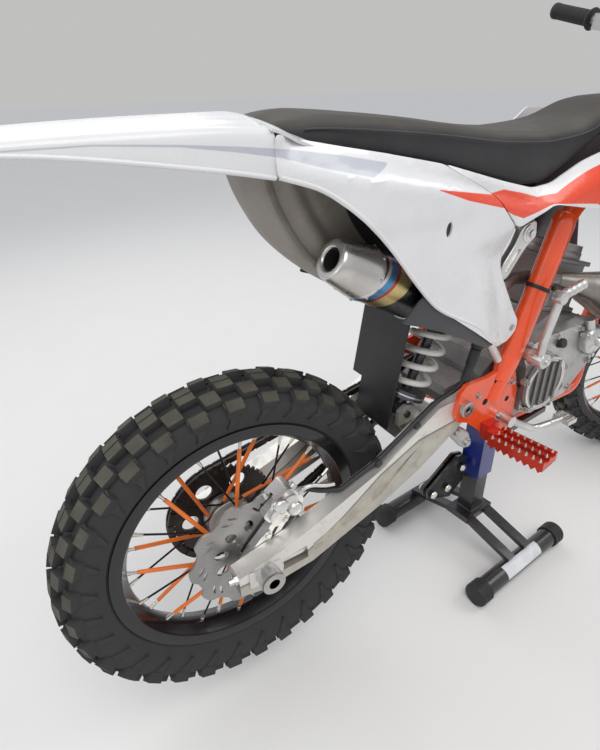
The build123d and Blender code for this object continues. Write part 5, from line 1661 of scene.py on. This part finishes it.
@dataclass
class Powertrain:
    """Frame guards, silencer, engine fittings and the controls at the frame."""

    silencer_front: Vector = field(default_factory=lambda: Vector((-322, -86, 706)))
    silencer_back: Vector = field(default_factory=lambda: Vector((-520, -88, 815)))
    spar: tuple[Point, ...] = (
        (-30, 73, 800), (-52, 77, 748), (-76, 82, 697), (-100, 87, 648),
        (-124, 92, 602), (-146, 96, 562), (-158, 97, 530),
    )

    def build(self) -> None:
        """Make every piece."""
        self.make_frame_guards()
        self.make_subframe_lugs()
        self.make_silencer()
        self.make_engine_fittings()
        self.make_cylinder_fittings()
        self.make_kick_fittings()
        self.make_peg_teeth()
        self.make_brake_cylinder()

    def make_frame_guards(self) -> None:
        """Orange guards strapped over the main tubes, each with its black strap."""
        rows = [(-p[2], p[0], p[1]) for p in self.spar]

        def place(u: float, v: float) -> Point:
            """Point on the guard, with u down the tube and v round it."""
            z = 800 - 270 * u
            x, y = glide(rows, -z)
            ahead = Vector((0.43, 0, 0.90)).normalized()
            wide = Vector((ahead.z, 0, -ahead.x))
            angle = FULL_TURN * v
            grow = 0.80 + 0.20 * ramp(u, 0, 0.05) - 0.12 * ramp(u, 0.86, 1)
            spot = Vector((x - 2, -y, z)) + wide * 24.5 * grow * math.cos(angle)
            spot += Vector(RIGHTWARD) * 17.6 * grow * math.sin(angle)
            return tuple(spot)

        guard = Bench.bevel(Bench.loft(40, 40, place), 2.4, 3, 50)
        twin = Bench.mirrored(guard)
        Bench.hand_over([guard, twin], "frame_guards", Body.CHASSIS, ORANGE_PAINT, "frame_orange", angle=50)

        def strap(u: float, v: float) -> Point:
            """Point on the strap."""
            spot = Vector(place(0.42 + 0.022 * u, v))
            middle = Vector(place(0.42 + 0.022 * u, 0)).lerp(Vector(place(0.42 + 0.022 * u, 0.5)), 0.5)
            return tuple(middle + (spot - middle) * 1.05)

        band = Bench.loft(2, 40, strap)
        lug = Bench.bevel(Bench.block((-66, -101.5, 684), (8, 7, 8)), 1.4, 2)
        band = Bench.join([band, lug])
        Bench.hand_over([band, Bench.mirrored(band)], "frame_guard_straps", Body.CHASSIS, RUBBER,
                        "rubber_black")

    def make_subframe_lugs(self) -> None:
        """Cast lugs that bolt the subframe's rails to the frame."""
        outline = rounded([
            (-150, 812), (-182, 806), (-192, 780), (-214, 752), (-218, 730), (-200, 726), (-184, 748),
            (-166, 772), (-146, 786),
        ], 9)
        lug = Bench.bevel(Bench.slab(outline, -104, -92), 2.2, 3)
        pocket = Bench.slab(rounded([(-186, 772), (-176, 772), (-200, 738), (-208, 740)], 4), -106, -100)
        Bench.cut(lug, pocket)
        eye = Bench.bevel(Bench.drum((-166, -107, 794), (-166, -92, 794), 14, 32), 1.6, 3)
        bolt = Bench.bolt((-166, -107, 794), RIGHTWARD, 7)
        side = Bench.join([lug, eye, bolt])
        Bench.hand_over([side, Bench.mirrored(side)], "subframe_lugs", Body.CHASSIS, BRIGHT_CAST,
                        "cast_silver")

    def make_silencer(self) -> None:
        """Rolled silencer with its end cone, the dark outlet, rivets and strap."""
        run = self.silencer_back - self.silencer_front
        length = run.length
        place = at(self.silencer_front) @ run.normalized().to_track_quat("Y", "Z").to_matrix().to_4x4()
        profile = [
            (13, 0.6), (14, 0.4), (16, 4), (26, 20), (34, 36), (35.8, 42), (36.4, 44), (36.4, 48),
            (35.8, 50), (36, length - 64), (37, length - 62), (37.2, length - 56), (36.6, length - 53),
            (34.2, length - 38), (29.4, length - 14), (27.2, length - 4.4), (25.4, length - 1.4),
            (23, length - 0.2), (17.6, length), (15.6, length - 1), (14.6, length - 3.6),
            (14.6, length - 26), (0.01, length - 26), (0.01, 2),
        ]
        can = Bench.lathe(profile, 72)
        Bench.move(can, place)
        Bench.hand_over(can, "silencer_can", Body.CHASSIS, SILENCER, "silencer_alu", ["silencer"], angle=50)
        liner = Bench.lathe([(0.01, length - 25.6), (14.2, length - 25.6), (14.2, length - 3),
                             (13.4, length - 3), (13.4, length - 24.6),
                             (0.01, length - 24.6)], 48)
        Bench.move(liner, place)
        Bench.hand_over(liner, "silencer_bore", Body.CHASSIS, HOLE_BLACK, "black_plastic")
        rivets = []
        for number in range(8):
            angle = FULL_TURN * number / 8
            spot = Vector((36.6 * math.cos(angle), length - 59, 36.6 * math.sin(angle)))
            out = Vector((math.cos(angle), 0, math.sin(angle)))
            rivet = Bench.drum(spot, spot + out * 2.2, 2.6, 12, 1.6)
            rivets.append(Bench.move(rivet, place))
        strap = Bench.lathe([(36.2, 60), (37.6, 60.4), (37.6, 71.6), (36.2, 72)], 64)
        rivets.append(Bench.move(strap, place))
        Bench.hand_over(rivets, "silencer_rivets", Body.CHASSIS, STEEL, "steel")

    def make_engine_fittings(self) -> None:
        """Cover screws, lid screws, pump body and its hose union."""
        screws = []
        for x, z in ((-92, 452), (-96, 500), (-106, 588), (-30, 585), (40, 584), (100, 540), (92, 500),
                     (46, 452), (-10, 434)):
            boss = Bench.bevel(Bench.drum((x, -92, z), (x, -107.4, z), 7.2, 20), 0.8, 2)
            screws.append(boss)
            screws.append(Bench.bolt((x, -107.4, z), RIGHTWARD, 4.2, True))
        for number in range(5):
            angle = math.radians(18 + 72 * number)
            spot = (LID[0] + 58 * math.cos(angle), -115, LID[1] + 58 * math.sin(angle))
            screws.append(Bench.bolt(spot, RIGHTWARD, 4.4, True))
        Bench.hand_over(screws, "engine_cover_screws", Body.CHASSIS, STEEL, "steel")
        lid = Bench.lathe([(46, 0), (54, 0), (55, -1.4), (54.6, -3), (51, -4), (49, -2.4), (46, -2)], 72)
        Bench.move(lid, at((LID[0], -115.2, LID[1])))
        pump = Bench.lathe([
            (0.01, -16), (7, -16), (9, -13), (10, -7), (21, -5.6), (26.5, -3), (28.4, 0), (28.8, 12),
            (0.01, 12),
        ], 48)
        Bench.move(pump, at((PUMP[0], -121.4, PUMP[1])))
        ribs = []
        for number in range(6):
            angle = math.pi / 3 * number + 0.3
            x, z = PUMP[0] + 17 * math.cos(angle), PUMP[1] + 17 * math.sin(angle)
            rib = Bench.bevel(Bench.block((0, 0, 0), (14, 4, 2.4)), 0.7, 2)
            ribs.append(Bench.move(rib, at((x, -126.5, z)) @ Matrix.Rotation(-angle, 4, "Y")))
        ears = []
        for degrees in (30, 150, 270):
            angle = math.radians(degrees)
            x, z = PUMP[0] + 30 * math.cos(angle), PUMP[1] + 30 * math.sin(angle)
            ear = Bench.bevel(Bench.drum((x, -108, z), (x, -122, z), 6.4, 20), 0.7, 2)
            ears += [ear, Bench.bolt((x, -122, z), RIGHTWARD, 4, True)]
        spout = Bench.drum((64, -113, 572), (50, -113, 604.5), 9.6, 24)
        Bench.hand_over([lid, pump, spout] + ribs + ears, "water_pump", Body.CHASSIS, BRIGHT_CAST,
                        "engine_grey")
        plug = Bench.bevel(Bench.drum((6, -106, 470), (6, -112, 470), 11, 24), 1, 2)
        neck = Bench.bevel(Bench.drum((-18, -100, 566), (-18, -116, 572), 9, 16), 1.2, 2)
        Bench.hand_over([plug, neck], "engine_plugs", Body.CHASSIS, BLACK_PLASTIC, "black_plastic")

    def make_cylinder_fittings(self) -> None:
        """Head with its stud nuts, the plug's cap, the base and top flanges and the side ribs."""
        lean = math.radians(15)
        frame = at((34, 0, 600)) @ Matrix.Rotation(lean, 4, "Y")
        castings = []
        for low, high, grow in ((0.4, 9, 3), (92, 100.2, 2)):
            flange = Bench.block((0, 0, (low + high) / 2), (104 + grow * 2, 104 + grow * 2, high - low))
            Bench.bevel(flange, 1.2, 2)
            castings.append(Bench.move(flange, frame))
        for number in range(4):
            angle = math.pi / 4 + math.pi / 2 * number
            spot = frame @ Vector((62 * math.cos(angle), 62 * math.sin(angle), 9))
            castings.append(Bench.bolt(tuple(spot), tuple(frame.to_3x3() @ Vector((0, 0, 1))), 6))
        head = Bench.lathe([(0.01, 0), (51, 0), (52, 2), (52, 12), (50, 15), (40, 22), (28, 26.4),
                            (0.01, 27)], 64)
        Bench.move(head, frame @ at((0, 0, 100.4)) @ turned(90, "X"))
        castings.append(head)
        up = tuple(frame.to_3x3() @ Vector((0, 0, 1)))
        for number in range(6):
            angle = math.pi / 3 * number
            spot = frame @ Vector((43 * math.cos(angle), 43 * math.sin(angle), 119))
            boss = Bench.bevel(Bench.drum(spot - Vector(up) * 14, spot, 7.4, 20), 0.8, 2)
            castings += [boss, Bench.bolt(tuple(spot), up, 5)]
        for side in (-1, 1):
            for number in range(3):
                rib = Bench.bevel(Bench.block((0, side * 53, 26 + 24 * number), (70, 4, 4)), 1.2, 2)
                castings.append(Bench.move(rib, frame))
        Bench.hand_over(castings, "cylinder_and_head_castings", Body.CHASSIS, ENGINE_GREY, "engine_grey")
        cap = Bench.drum(frame @ Vector((0, 0, 128)), frame @ Vector((0, 0, 160)), 9.6, 20, 8.4)
        boot = Bench.drum(frame @ Vector((0, 0, 126)), frame @ Vector((0, 0, 134)), 12, 20, 10)
        Bench.bevel(cap, 1.6, 3)
        Bench.hand_over([cap, boot], "plug_cap", Body.CHASSIS, RUBBER, "rubber_black")

    def make_kick_fittings(self) -> None:
        """Kick lever's clamp, its folding joint and ribbed tip."""
        pieces = []
        clamp = Bench.lathe([(0.01, -9), (9, -9), (13.4, -7.6), (14.4, -5), (14.4, 20), (0.01, 20)], 40)
        pieces.append(Bench.move(clamp, at((KICK_PIVOT[0], -136.4, KICK_PIVOT[1]))))
        joint = Bench.bevel(Bench.drum((-109, -152, 690), (-109, -134, 690), 10.6, 28), 1.4, 2)
        pieces.append(joint)
        for number in range(4):
            share = 0.30 + 0.2 * number
            spot = Vector((-110, -142, 690)).lerp(Vector((-64, -150, 706)), share)
            run = Vector((46, -8, 16)).normalized()
            collar = Bench.bevel(Bench.drum(spot - run * 1.6, spot + run * 1.6, 9, 24), 0.7, 2)
            pieces.append(collar)
        pieces.append(Bench.bolt((KICK_PIVOT[0], -145.4, KICK_PIVOT[1]), RIGHTWARD, 6))
        Bench.hand_over(pieces, "kick_lever_fittings", Body.CHASSIS, BRIGHT_CAST, "cast_silver")

    def make_peg_teeth(self) -> None:
        """Bright points on the footpegs' rails and the pedal's step."""
        turn = at((-190, -126, 441)) @ turned(9, "Z")
        points = []
        for x in (-23, -3, 17):
            for number in range(8):
                spot = Vector((x, -6 - 12.5 * (number + 0.5), 9.4))
                points.append(Bench.move(Bench.drum(spot, spot + Vector((0, 0, 7)), 3, 8, 0.7), turn))
        right = Bench.join(points)
        points = [right, Bench.mirrored(right)]
        for number in range(3):
            for x in (-10, -2, 6):
                spot = Vector((x, -132 - 12 * number, 420.6))
                points.append(Bench.drum(spot, spot + Vector((0, 0, 3.6)), 2, 8, 0.9))
        Bench.hand_over(points, "peg_points", Body.CHASSIS, NIPPLE, "steel")

    def make_brake_cylinder(self) -> None:
        """Rear brake's small cylinder with its black cap."""
        body = Bench.bevel(Bench.drum((-230, -86, 579), (-222, -86, 606), 9, 28), 1.4, 2)
        cap = Bench.bevel(Bench.drum((-221.6, -86, 607), (-218, -86, 620), 10.6, 28), 2, 3)
        Bench.hand_over([body, cap], "brake_cylinder", Body.CHASSIS, BLACK_PLASTIC, "black_plastic")


# Front end


@dataclass
class FrontEnd:
    """Guards, fender, plate, bars and brake fittings that turn with the steering."""

    half: float = FORK_SPACING

    def build(self) -> None:
        """Make every piece."""
        self.make_fender()
        self.make_plate()
        self.make_guards()
        self.make_clamp_bolts()
        self.make_grips()
        self.make_brake_fittings()

    def make_fender(self) -> None:
        """Crowned front fender with a raised middle and turned-down sides."""
        rear, front = fork_point(527.7, -22), fork_point(527.7, 40)
        axle = FRONT_AXLE.x
        rows = (
            # X, half width, crown, edge
            (rear.x, 44, rear.z - 0.5, rear.z - 7), (front.x, 58, front.z - 0.5, front.z - 10),
            (axle - 60, 80, 824, 800), (axle + 55, 86, 817, 792), (axle + 140, 80, 800, 780),
            (axle + 205, 66, 779, 765), (axle + 250, 52, 753, 743), (axle + 279, 30, 728.5, 722),
        )
        low, high = rows[0][0], rows[-1][0]

        def place(u: float, v: float) -> Point:
            """Point on the outer face."""
            x = low + (high - low) * u
            half, crown, edge = glide(rows, x)
            around = (
                (0, -half, edge), (0.08, -half + 0.4, edge + (crown - edge) * 0.22),
                (0.16, -half + 4, edge + (crown - edge) * 0.48),
                (0.3, -half * 0.66, edge + (crown - edge) * 0.76), (0.4, -half * 0.34, crown - 2.6),
                (0.44, -half * 0.24, crown - 0.6),
                (0.5, 0, crown),
            )
            across, height = glide(around, min(v, 1 - v))
            return (x, across if v < 0.5 else -across, height)

        blade = Bench.skin(60, 56, place)
        Bench.edit(blade)
        bpy.ops.mesh.normals_make_consistent(inside=False)
        Bench.done()
        Bench.modify(blade, "SOLIDIFY", thickness=3.4, offset=-1 if Bodywork.faces_up(blade) else 1)
        Bench.clean(blade)
        Bench.bevel(blade, 0.9, 2, 50)
        Bench.hand_over(blade, "front_fender_blade", Body.FRONT_END, WHITE_PLASTIC, "white_plastic",
                        ["front_fender"], steered(), 40)

    def make_plate(self) -> None:
        """Blank number plate with a rim and a shallow field."""
        outline = rounded([(-70, 0), (70, 0), (104, 110), (88, 236), (-88, 236), (-104, 110)], 18, 6)
        plate = Bench.slab([(x, z) for x, z in outline], -2.5, 2.5)
        Bench.pick(plate, lambda face: face.normal.y < -0.9)
        bpy.ops.mesh.inset(thickness=7, depth=0)
        bpy.ops.mesh.inset(thickness=1.6, depth=-0.8)
        Bench.done()
        Bench.bevel(plate, 0.8, 2, 25)
        Bench.move(plate, Matrix.Rotation(math.pi / 2, 4, "Z"))
        Bench.hand_over(plate, "number_plate_shell", Body.FRONT_END, WHITE_PLASTIC, "white_plastic",
                        ["number_plate"],
                        steered() @ fork_frame(600, 22 + 27 + 9.3 + 2.5))

    def make_guards(self) -> None:
        """Fork guards, wrapped round the front and outer side of each leg, with their bolts."""
        pieces, bolts = [], []
        for side in (-1, 1):
            def place(u: float, v: float, side: float = side) -> Point:
                """Point on one guard."""
                along = 72 + 266 * u
                spread = 34 - 5 * ramp(u, 0.72, 1) + 3 * math.sin(u * math.pi)
                angle = math.radians(-78 + 170 * v)
                return (22 + spread * math.cos(angle), side * (self.half + 31.5 * math.sin(angle)), along)

            guard = Bench.skin(24, 24, place)
            Bench.modify(guard, "SOLIDIFY", thickness=3, offset=0)
            Bench.clean(guard)
            Bench.bevel(guard, 0.8, 2, 50)
            pieces.append(guard)
            for along in (96, 310):
                spot = Vector((22, side * (self.half + 32.4), along))
                bolts.append(Bench.bolt(tuple(spot), (0, side, 0), 4.6))
        place_all = steered() @ fork_frame(0)
        Bench.hand_over(pieces, "fork_guard_shells", Body.FRONT_END, RED_PLASTIC, "orange_plastic",
                        ["fork_guards"], place_all)
        Bench.hand_over(bolts, "fork_guard_bolts", Body.FRONT_END, STEEL, "steel", (), place_all)

    def make_clamp_bolts(self) -> None:
        """Pinch bolts of both clamps, stem nut, tube caps and dust seals."""
        bolts, seals = [], []
        for along, ahead in ((537, 54), (553, 54), (729, 54)):
            for side in (-1, 1):
                bolts.append(Bench.bolt((ahead + 2.6, side * FORK_SPACING, along), (1, 0, 0), 4.2, True))
        nut = Bench.bevel(Bench.drum((0, 0, 715), (0, 0, 726), 15, 6), 1.2, 2)
        bolts.append(nut)
        for side in (-1, 1):
            cap = Bench.lathe([(0.01, 0), (26.4, 0), (26.4, 2), (21, 3.4), (20, 7), (8, 7.4), (7, 10),
                               (0.01, 10)], 48)
            bolts.append(Bench.move(cap, at((22, side * FORK_SPACING, 730.2)) @ turned(90, "X")))
            ring = Bench.lathe([(21.8, 0), (26.2, -0.4), (28, -4), (28, -13), (26, -16), (21.8, -16)], 48)
            leg = at((22, side * FORK_SPACING, 300))
            seals.append(Bench.move(ring, leg @ Matrix.Rotation(-math.pi / 2, 4, "X")))
        for side in (-1, 1):
            cap = Bench.bevel(Bench.block((6, side * 32, 748), (40, 26, 18)), 5, 3)
            bolts.append(cap)
            for ahead in (-9, 21):
                bolts.append(Bench.bolt((ahead, side * 32, 757), (0, 0, 1), 3.8, True))
        place = steered() @ fork_frame(0)
        Bench.hand_over(bolts, "clamp_bolts_and_caps", Body.FRONT_END, BRIGHT_CAST, "cast_silver", (),
                        place)
        Bench.hand_over(seals, "fork_dust_seals", Body.FRONT_END, RUBBER, "rubber_black", (), place)

    def make_grips(self) -> None:
        """Ribbed rubber grips with flanges and closed ends."""
        pieces = []
        middle = fork_point(upper_clamp_top() + 33, 6)
        for side in (-1, 1):
            end = middle + Vector((-54, side * 372, 80))
            bend = middle + Vector((-10, side * 150, 62))
            run = (bend - end).normalized()
            profile = [(0.01, -3.4), (14, -3.4), (16.4, -1), (16.4, 5), (14.6, 7)]
            for number in range(24):
                low = 9 + number * 4.1
                profile += [(14.6, low), (15.7, low + 0.8), (15.7, low + 2.4), (14.6, low + 3.2)]
            profile += [(15, 109), (21, 110.5), (22, 112.5), (21, 114.5), (15, 116), (11.6, 116.6),
                        (11.6, -0.4), (0.01, -0.4)]
            grip = Bench.lathe(profile, 40)
            turn = run.to_track_quat("Y", "Z").to_matrix().to_4x4()
            pieces.append(Bench.move(grip, at(end) @ turn))
        Bench.hand_over(pieces, "ribbed_grips", Body.FRONT_END, RUBBER, "rubber_black", ["grips"],
                        steered(), 30)

    def make_brake_fittings(self) -> None:
        """Front caliper's pins, the axle's clamp bolts and its end nuts."""
        centre = fork_point(70, -58)
        bright = []
        for shift in (-17, 17):
            spot = centre + STEER_UP * shift
            bright.append(Bench.bolt((spot.x, 66, spot.z), LEFTWARD, 8))
        for side in (-1, 1):
            for along in (-16, 16):
                spot = fork_point(along, 51.8, side * FORK_SPACING)
                bright.append(Bench.bolt(tuple(spot), tuple(STEER_FORWARD), 4.4, True))
            face = side * 112
            nut = Bench.lathe([(6.2, 0), (15, 0), (16.2, 1.2), (16.2, 5), (6.2, 5)], 6 if side > 0 else 40)
            turn = at((FRONT_AXLE.x, face - (5 if side > 0 else 0), FRONT_AXLE.z))
            bright.append(Bench.move(nut, turn))
        Bench.hand_over(bright, "front_brake_fittings", Body.FRONT_END, BRIGHT_CAST, "cast_silver", (),
                        steered())


def upper_clamp_top() -> float:
    """Height of the upper clamp's top along the steering axis."""
    return 566 + 118 + 3 + 28


# Stand


@dataclass
class Stand:
    """Label, caps' grooves, bolts and welds of the paddock stand."""

    centre: Point = (-45, 4, 0)
    yaw: float = 5

    def place(self) -> Matrix:
        """Where the stand is under the machine."""
        return at(self.centre) @ turned(self.yaw, "Z")

    def build(self) -> None:
        """Make every piece."""
        bolts = []
        for x, z in ((-42, 226), (-88, 190), (-136, 196)):
            for y, out in ((39, 1), (4.6, -1)):
                dome = Bench.lathe([(0.01, -6), (5, -5.6), (8, -3.6), (9.6, 0), (0.01, 0)], 28)
                turn = at((x, y - out, z)) @ Matrix.Rotation(0 if out < 0 else math.pi, 4, "X")
                bolts.append(Bench.move(dome, turn))
        Bench.hand_over(bolts, "stand_link_bolts", Body.CHASSIS, NIPPLE, "steel", (), self.place())
        caps = []
        for side in (-1, 1):
            for end in (-1, 1):
                profile = [
                    (0.01, 34), (20, 34), (24.4, 32.6), (26, 29), (26, 22), (25.2, 21), (25.2, 19.6),
                    (26, 18.6),
                    (26, 12), (25.2, 11), (25.2, 9.6), (26, 8.6), (26, 1), (25.2, 0.2), (0.01, 0.2),
                ]
                cap = Bench.lathe(profile, 56)
                turn = at((end * 120, side * 145, 26)) @ Matrix.Rotation(-end * math.pi / 2, 4, "Z")
                caps.append(Bench.move(cap, turn))
        Bench.hand_over(caps, "stand_rubber_caps", Body.CHASSIS, RUBBER, "rubber_black", ["stand_caps"],
                        self.place())

        def wrap(u: float, v: float) -> Point:
            """Point on the blank label, wrapped round the near foot bar."""
            angle = math.radians(12 + 84 * v)
            return (-62 + 124 * u, -145 - 22.5 * math.cos(angle), 26 + 22.5 * math.sin(angle))

        label = Bench.skin(24, 16, wrap)
        Bench.modify(label, "SOLIDIFY", thickness=0.5, offset=0)
        Bench.clean(label)
        Bench.hand_over(label, "stand_blank_label", Body.CHASSIS, BLANK_LABEL, "stand_blue", (),
                        self.place())
        welds = []
        for z in (96,):
            for start, end in (((-20, -20, z), (20, -20, z)), ((20, -20, z), (20, 20, z)),
                               ((20, 20, z), (-20, 20, z)), ((-20, 20, z), (-20, -20, z))):
                welds.append(Bench.pipe([start, Vector(start).lerp(Vector(end), 0.5), end], 2.6, 3, False))
        Bench.hand_over(welds, "stand_welds", Body.CHASSIS, STAND_BLACK, "stand_black", (), self.place())


# Studio


@dataclass
class Studio:
    """Floor, light and the camera at the photograph's angle."""

    position: Point = (-872.7, -606.3, 1009.7)
    yaw: float = 30.53
    pitch: float = 29.72
    roll: float = -1.65
    lens: float = 25.128

    def build(self) -> None:
        """Set up the whole studio."""
        self.make_camera()
        self.make_floor()
        self.make_lights()
        scene = bpy.context.scene
        scene.view_settings.view_transform = "Standard"

    def make_camera(self) -> None:
        """Camera from the fitted view."""
        yaw, pitch, roll = (math.radians(a) for a in (self.yaw, self.pitch, self.roll))
        ahead = Vector((math.sin(yaw) * math.cos(pitch), math.cos(yaw) * math.cos(pitch), -math.sin(pitch)))
        right = Vector((math.cos(yaw), -math.sin(yaw), 0))
        up = right.cross(ahead)
        turned_right = math.cos(roll) * right + math.sin(roll) * up
        turned_up = -math.sin(roll) * right + math.cos(roll) * up
        turn = Matrix((turned_right, turned_up, -ahead)).transposed().to_4x4()
        Bench.clear()
        bpy.ops.object.camera_add()
        camera = bpy.context.object
        camera.data.sensor_fit = "VERTICAL"
        camera.data.sensor_height = 36
        camera.data.lens = self.lens
        camera.data.clip_start = 0.01
        camera.matrix_world = at(to_frame() @ Vector(self.position)) @ turn
        bpy.context.scene.camera = camera

    def make_floor(self) -> None:
        """Wide pale floor."""
        Bench.clear()
        bpy.ops.mesh.primitive_plane_add(size=60)
        floor = bpy.context.object
        floor.name = "studio_floor"
        nodes = Nodes("pale_floor")
        grain = nodes.noise(nodes.place(), 6)
        colour = nodes.mix(grain, (0.72, 0.715, 0.70), (0.75, 0.745, 0.73))
        floor.data.materials.append(nodes.surface(base_color=colour, roughness=0.75))

    def make_lights(self) -> None:
        """Soft overhead panels and an even pale surround."""
        world = bpy.context.scene.world or bpy.data.worlds.new("surround")
        bpy.context.scene.world = world
        world.use_nodes = True
        tree = world.node_tree
        tree.nodes.clear()
        out = tree.nodes.new("ShaderNodeOutputWorld")
        lit, seen, mix = (tree.nodes.new(k) for k in ("ShaderNodeBackground", "ShaderNodeBackground",
                                                      "ShaderNodeMixShader"))
        path = tree.nodes.new("ShaderNodeLightPath")
        lit.inputs[0].default_value = (0.93, 0.95, 1, 1)
        lit.inputs[1].default_value = 0.72
        seen.inputs[0].default_value = (0.53, 0.53, 0.525, 1)
        seen.inputs[1].default_value = 1
        tree.links.new(path.outputs["Is Camera Ray"], mix.inputs[0])
        tree.links.new(lit.outputs[0], mix.inputs[1])
        tree.links.new(seen.outputs[0], mix.inputs[2])
        tree.links.new(mix.outputs[0], out.inputs[0])
        panels = (
            ((-1.2, -1.6, 3.2), (-0.1, 0, 0.4), 2.2, 44), ((1.8, -0.8, 2.8), (0.2, 0, 0.5), 1.6, 24),
            ((-0.4, 2.4, 2.6), (0, 0, 0.6), 2.4, 20), ((-3, 0.4, 1.6), (-0.5, 0, 0.5), 1.6, 10),
        )
        for place, target, size, power in panels:
            Bench.clear()
            bpy.ops.object.light_add(type="AREA", location=place)
            lamp = bpy.context.object
            lamp.data.size = size
            lamp.data.energy = power
            lamp.data.color = (1, 0.985, 0.96)
            lamp.rotation_euler = (Vector(target) - Vector(place)).to_track_quat("-Z", "Y").to_euler()


def main() -> None:
    """Load the frame, build every assembly over it and light it."""
    logging.basicConfig(level=logging.INFO, format="%(message)s")
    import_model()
    Studio().build()
    rear = at(REAR_AXLE)
    front = steered() @ at(FRONT_AXLE)
    SpokedWheel("rear", Body.REAR_WHEEL, rear, 294, 46, 217, 27, 32, 41, 105, -48, 10, 57.6, 40).build()
    SpokedWheel("front", Body.FRONT_WHEEL, front, 311, 39, 253, 21, 36, 35, 120, 50, 12, -37, 26).build()
    Bodywork().build()
    Seat().build()
    RearSuspension().build()
    Powertrain().build()
    FrontEnd().build()
    Stand().build()
    paint_nodes()


if __name__ == "__main__":
    main()
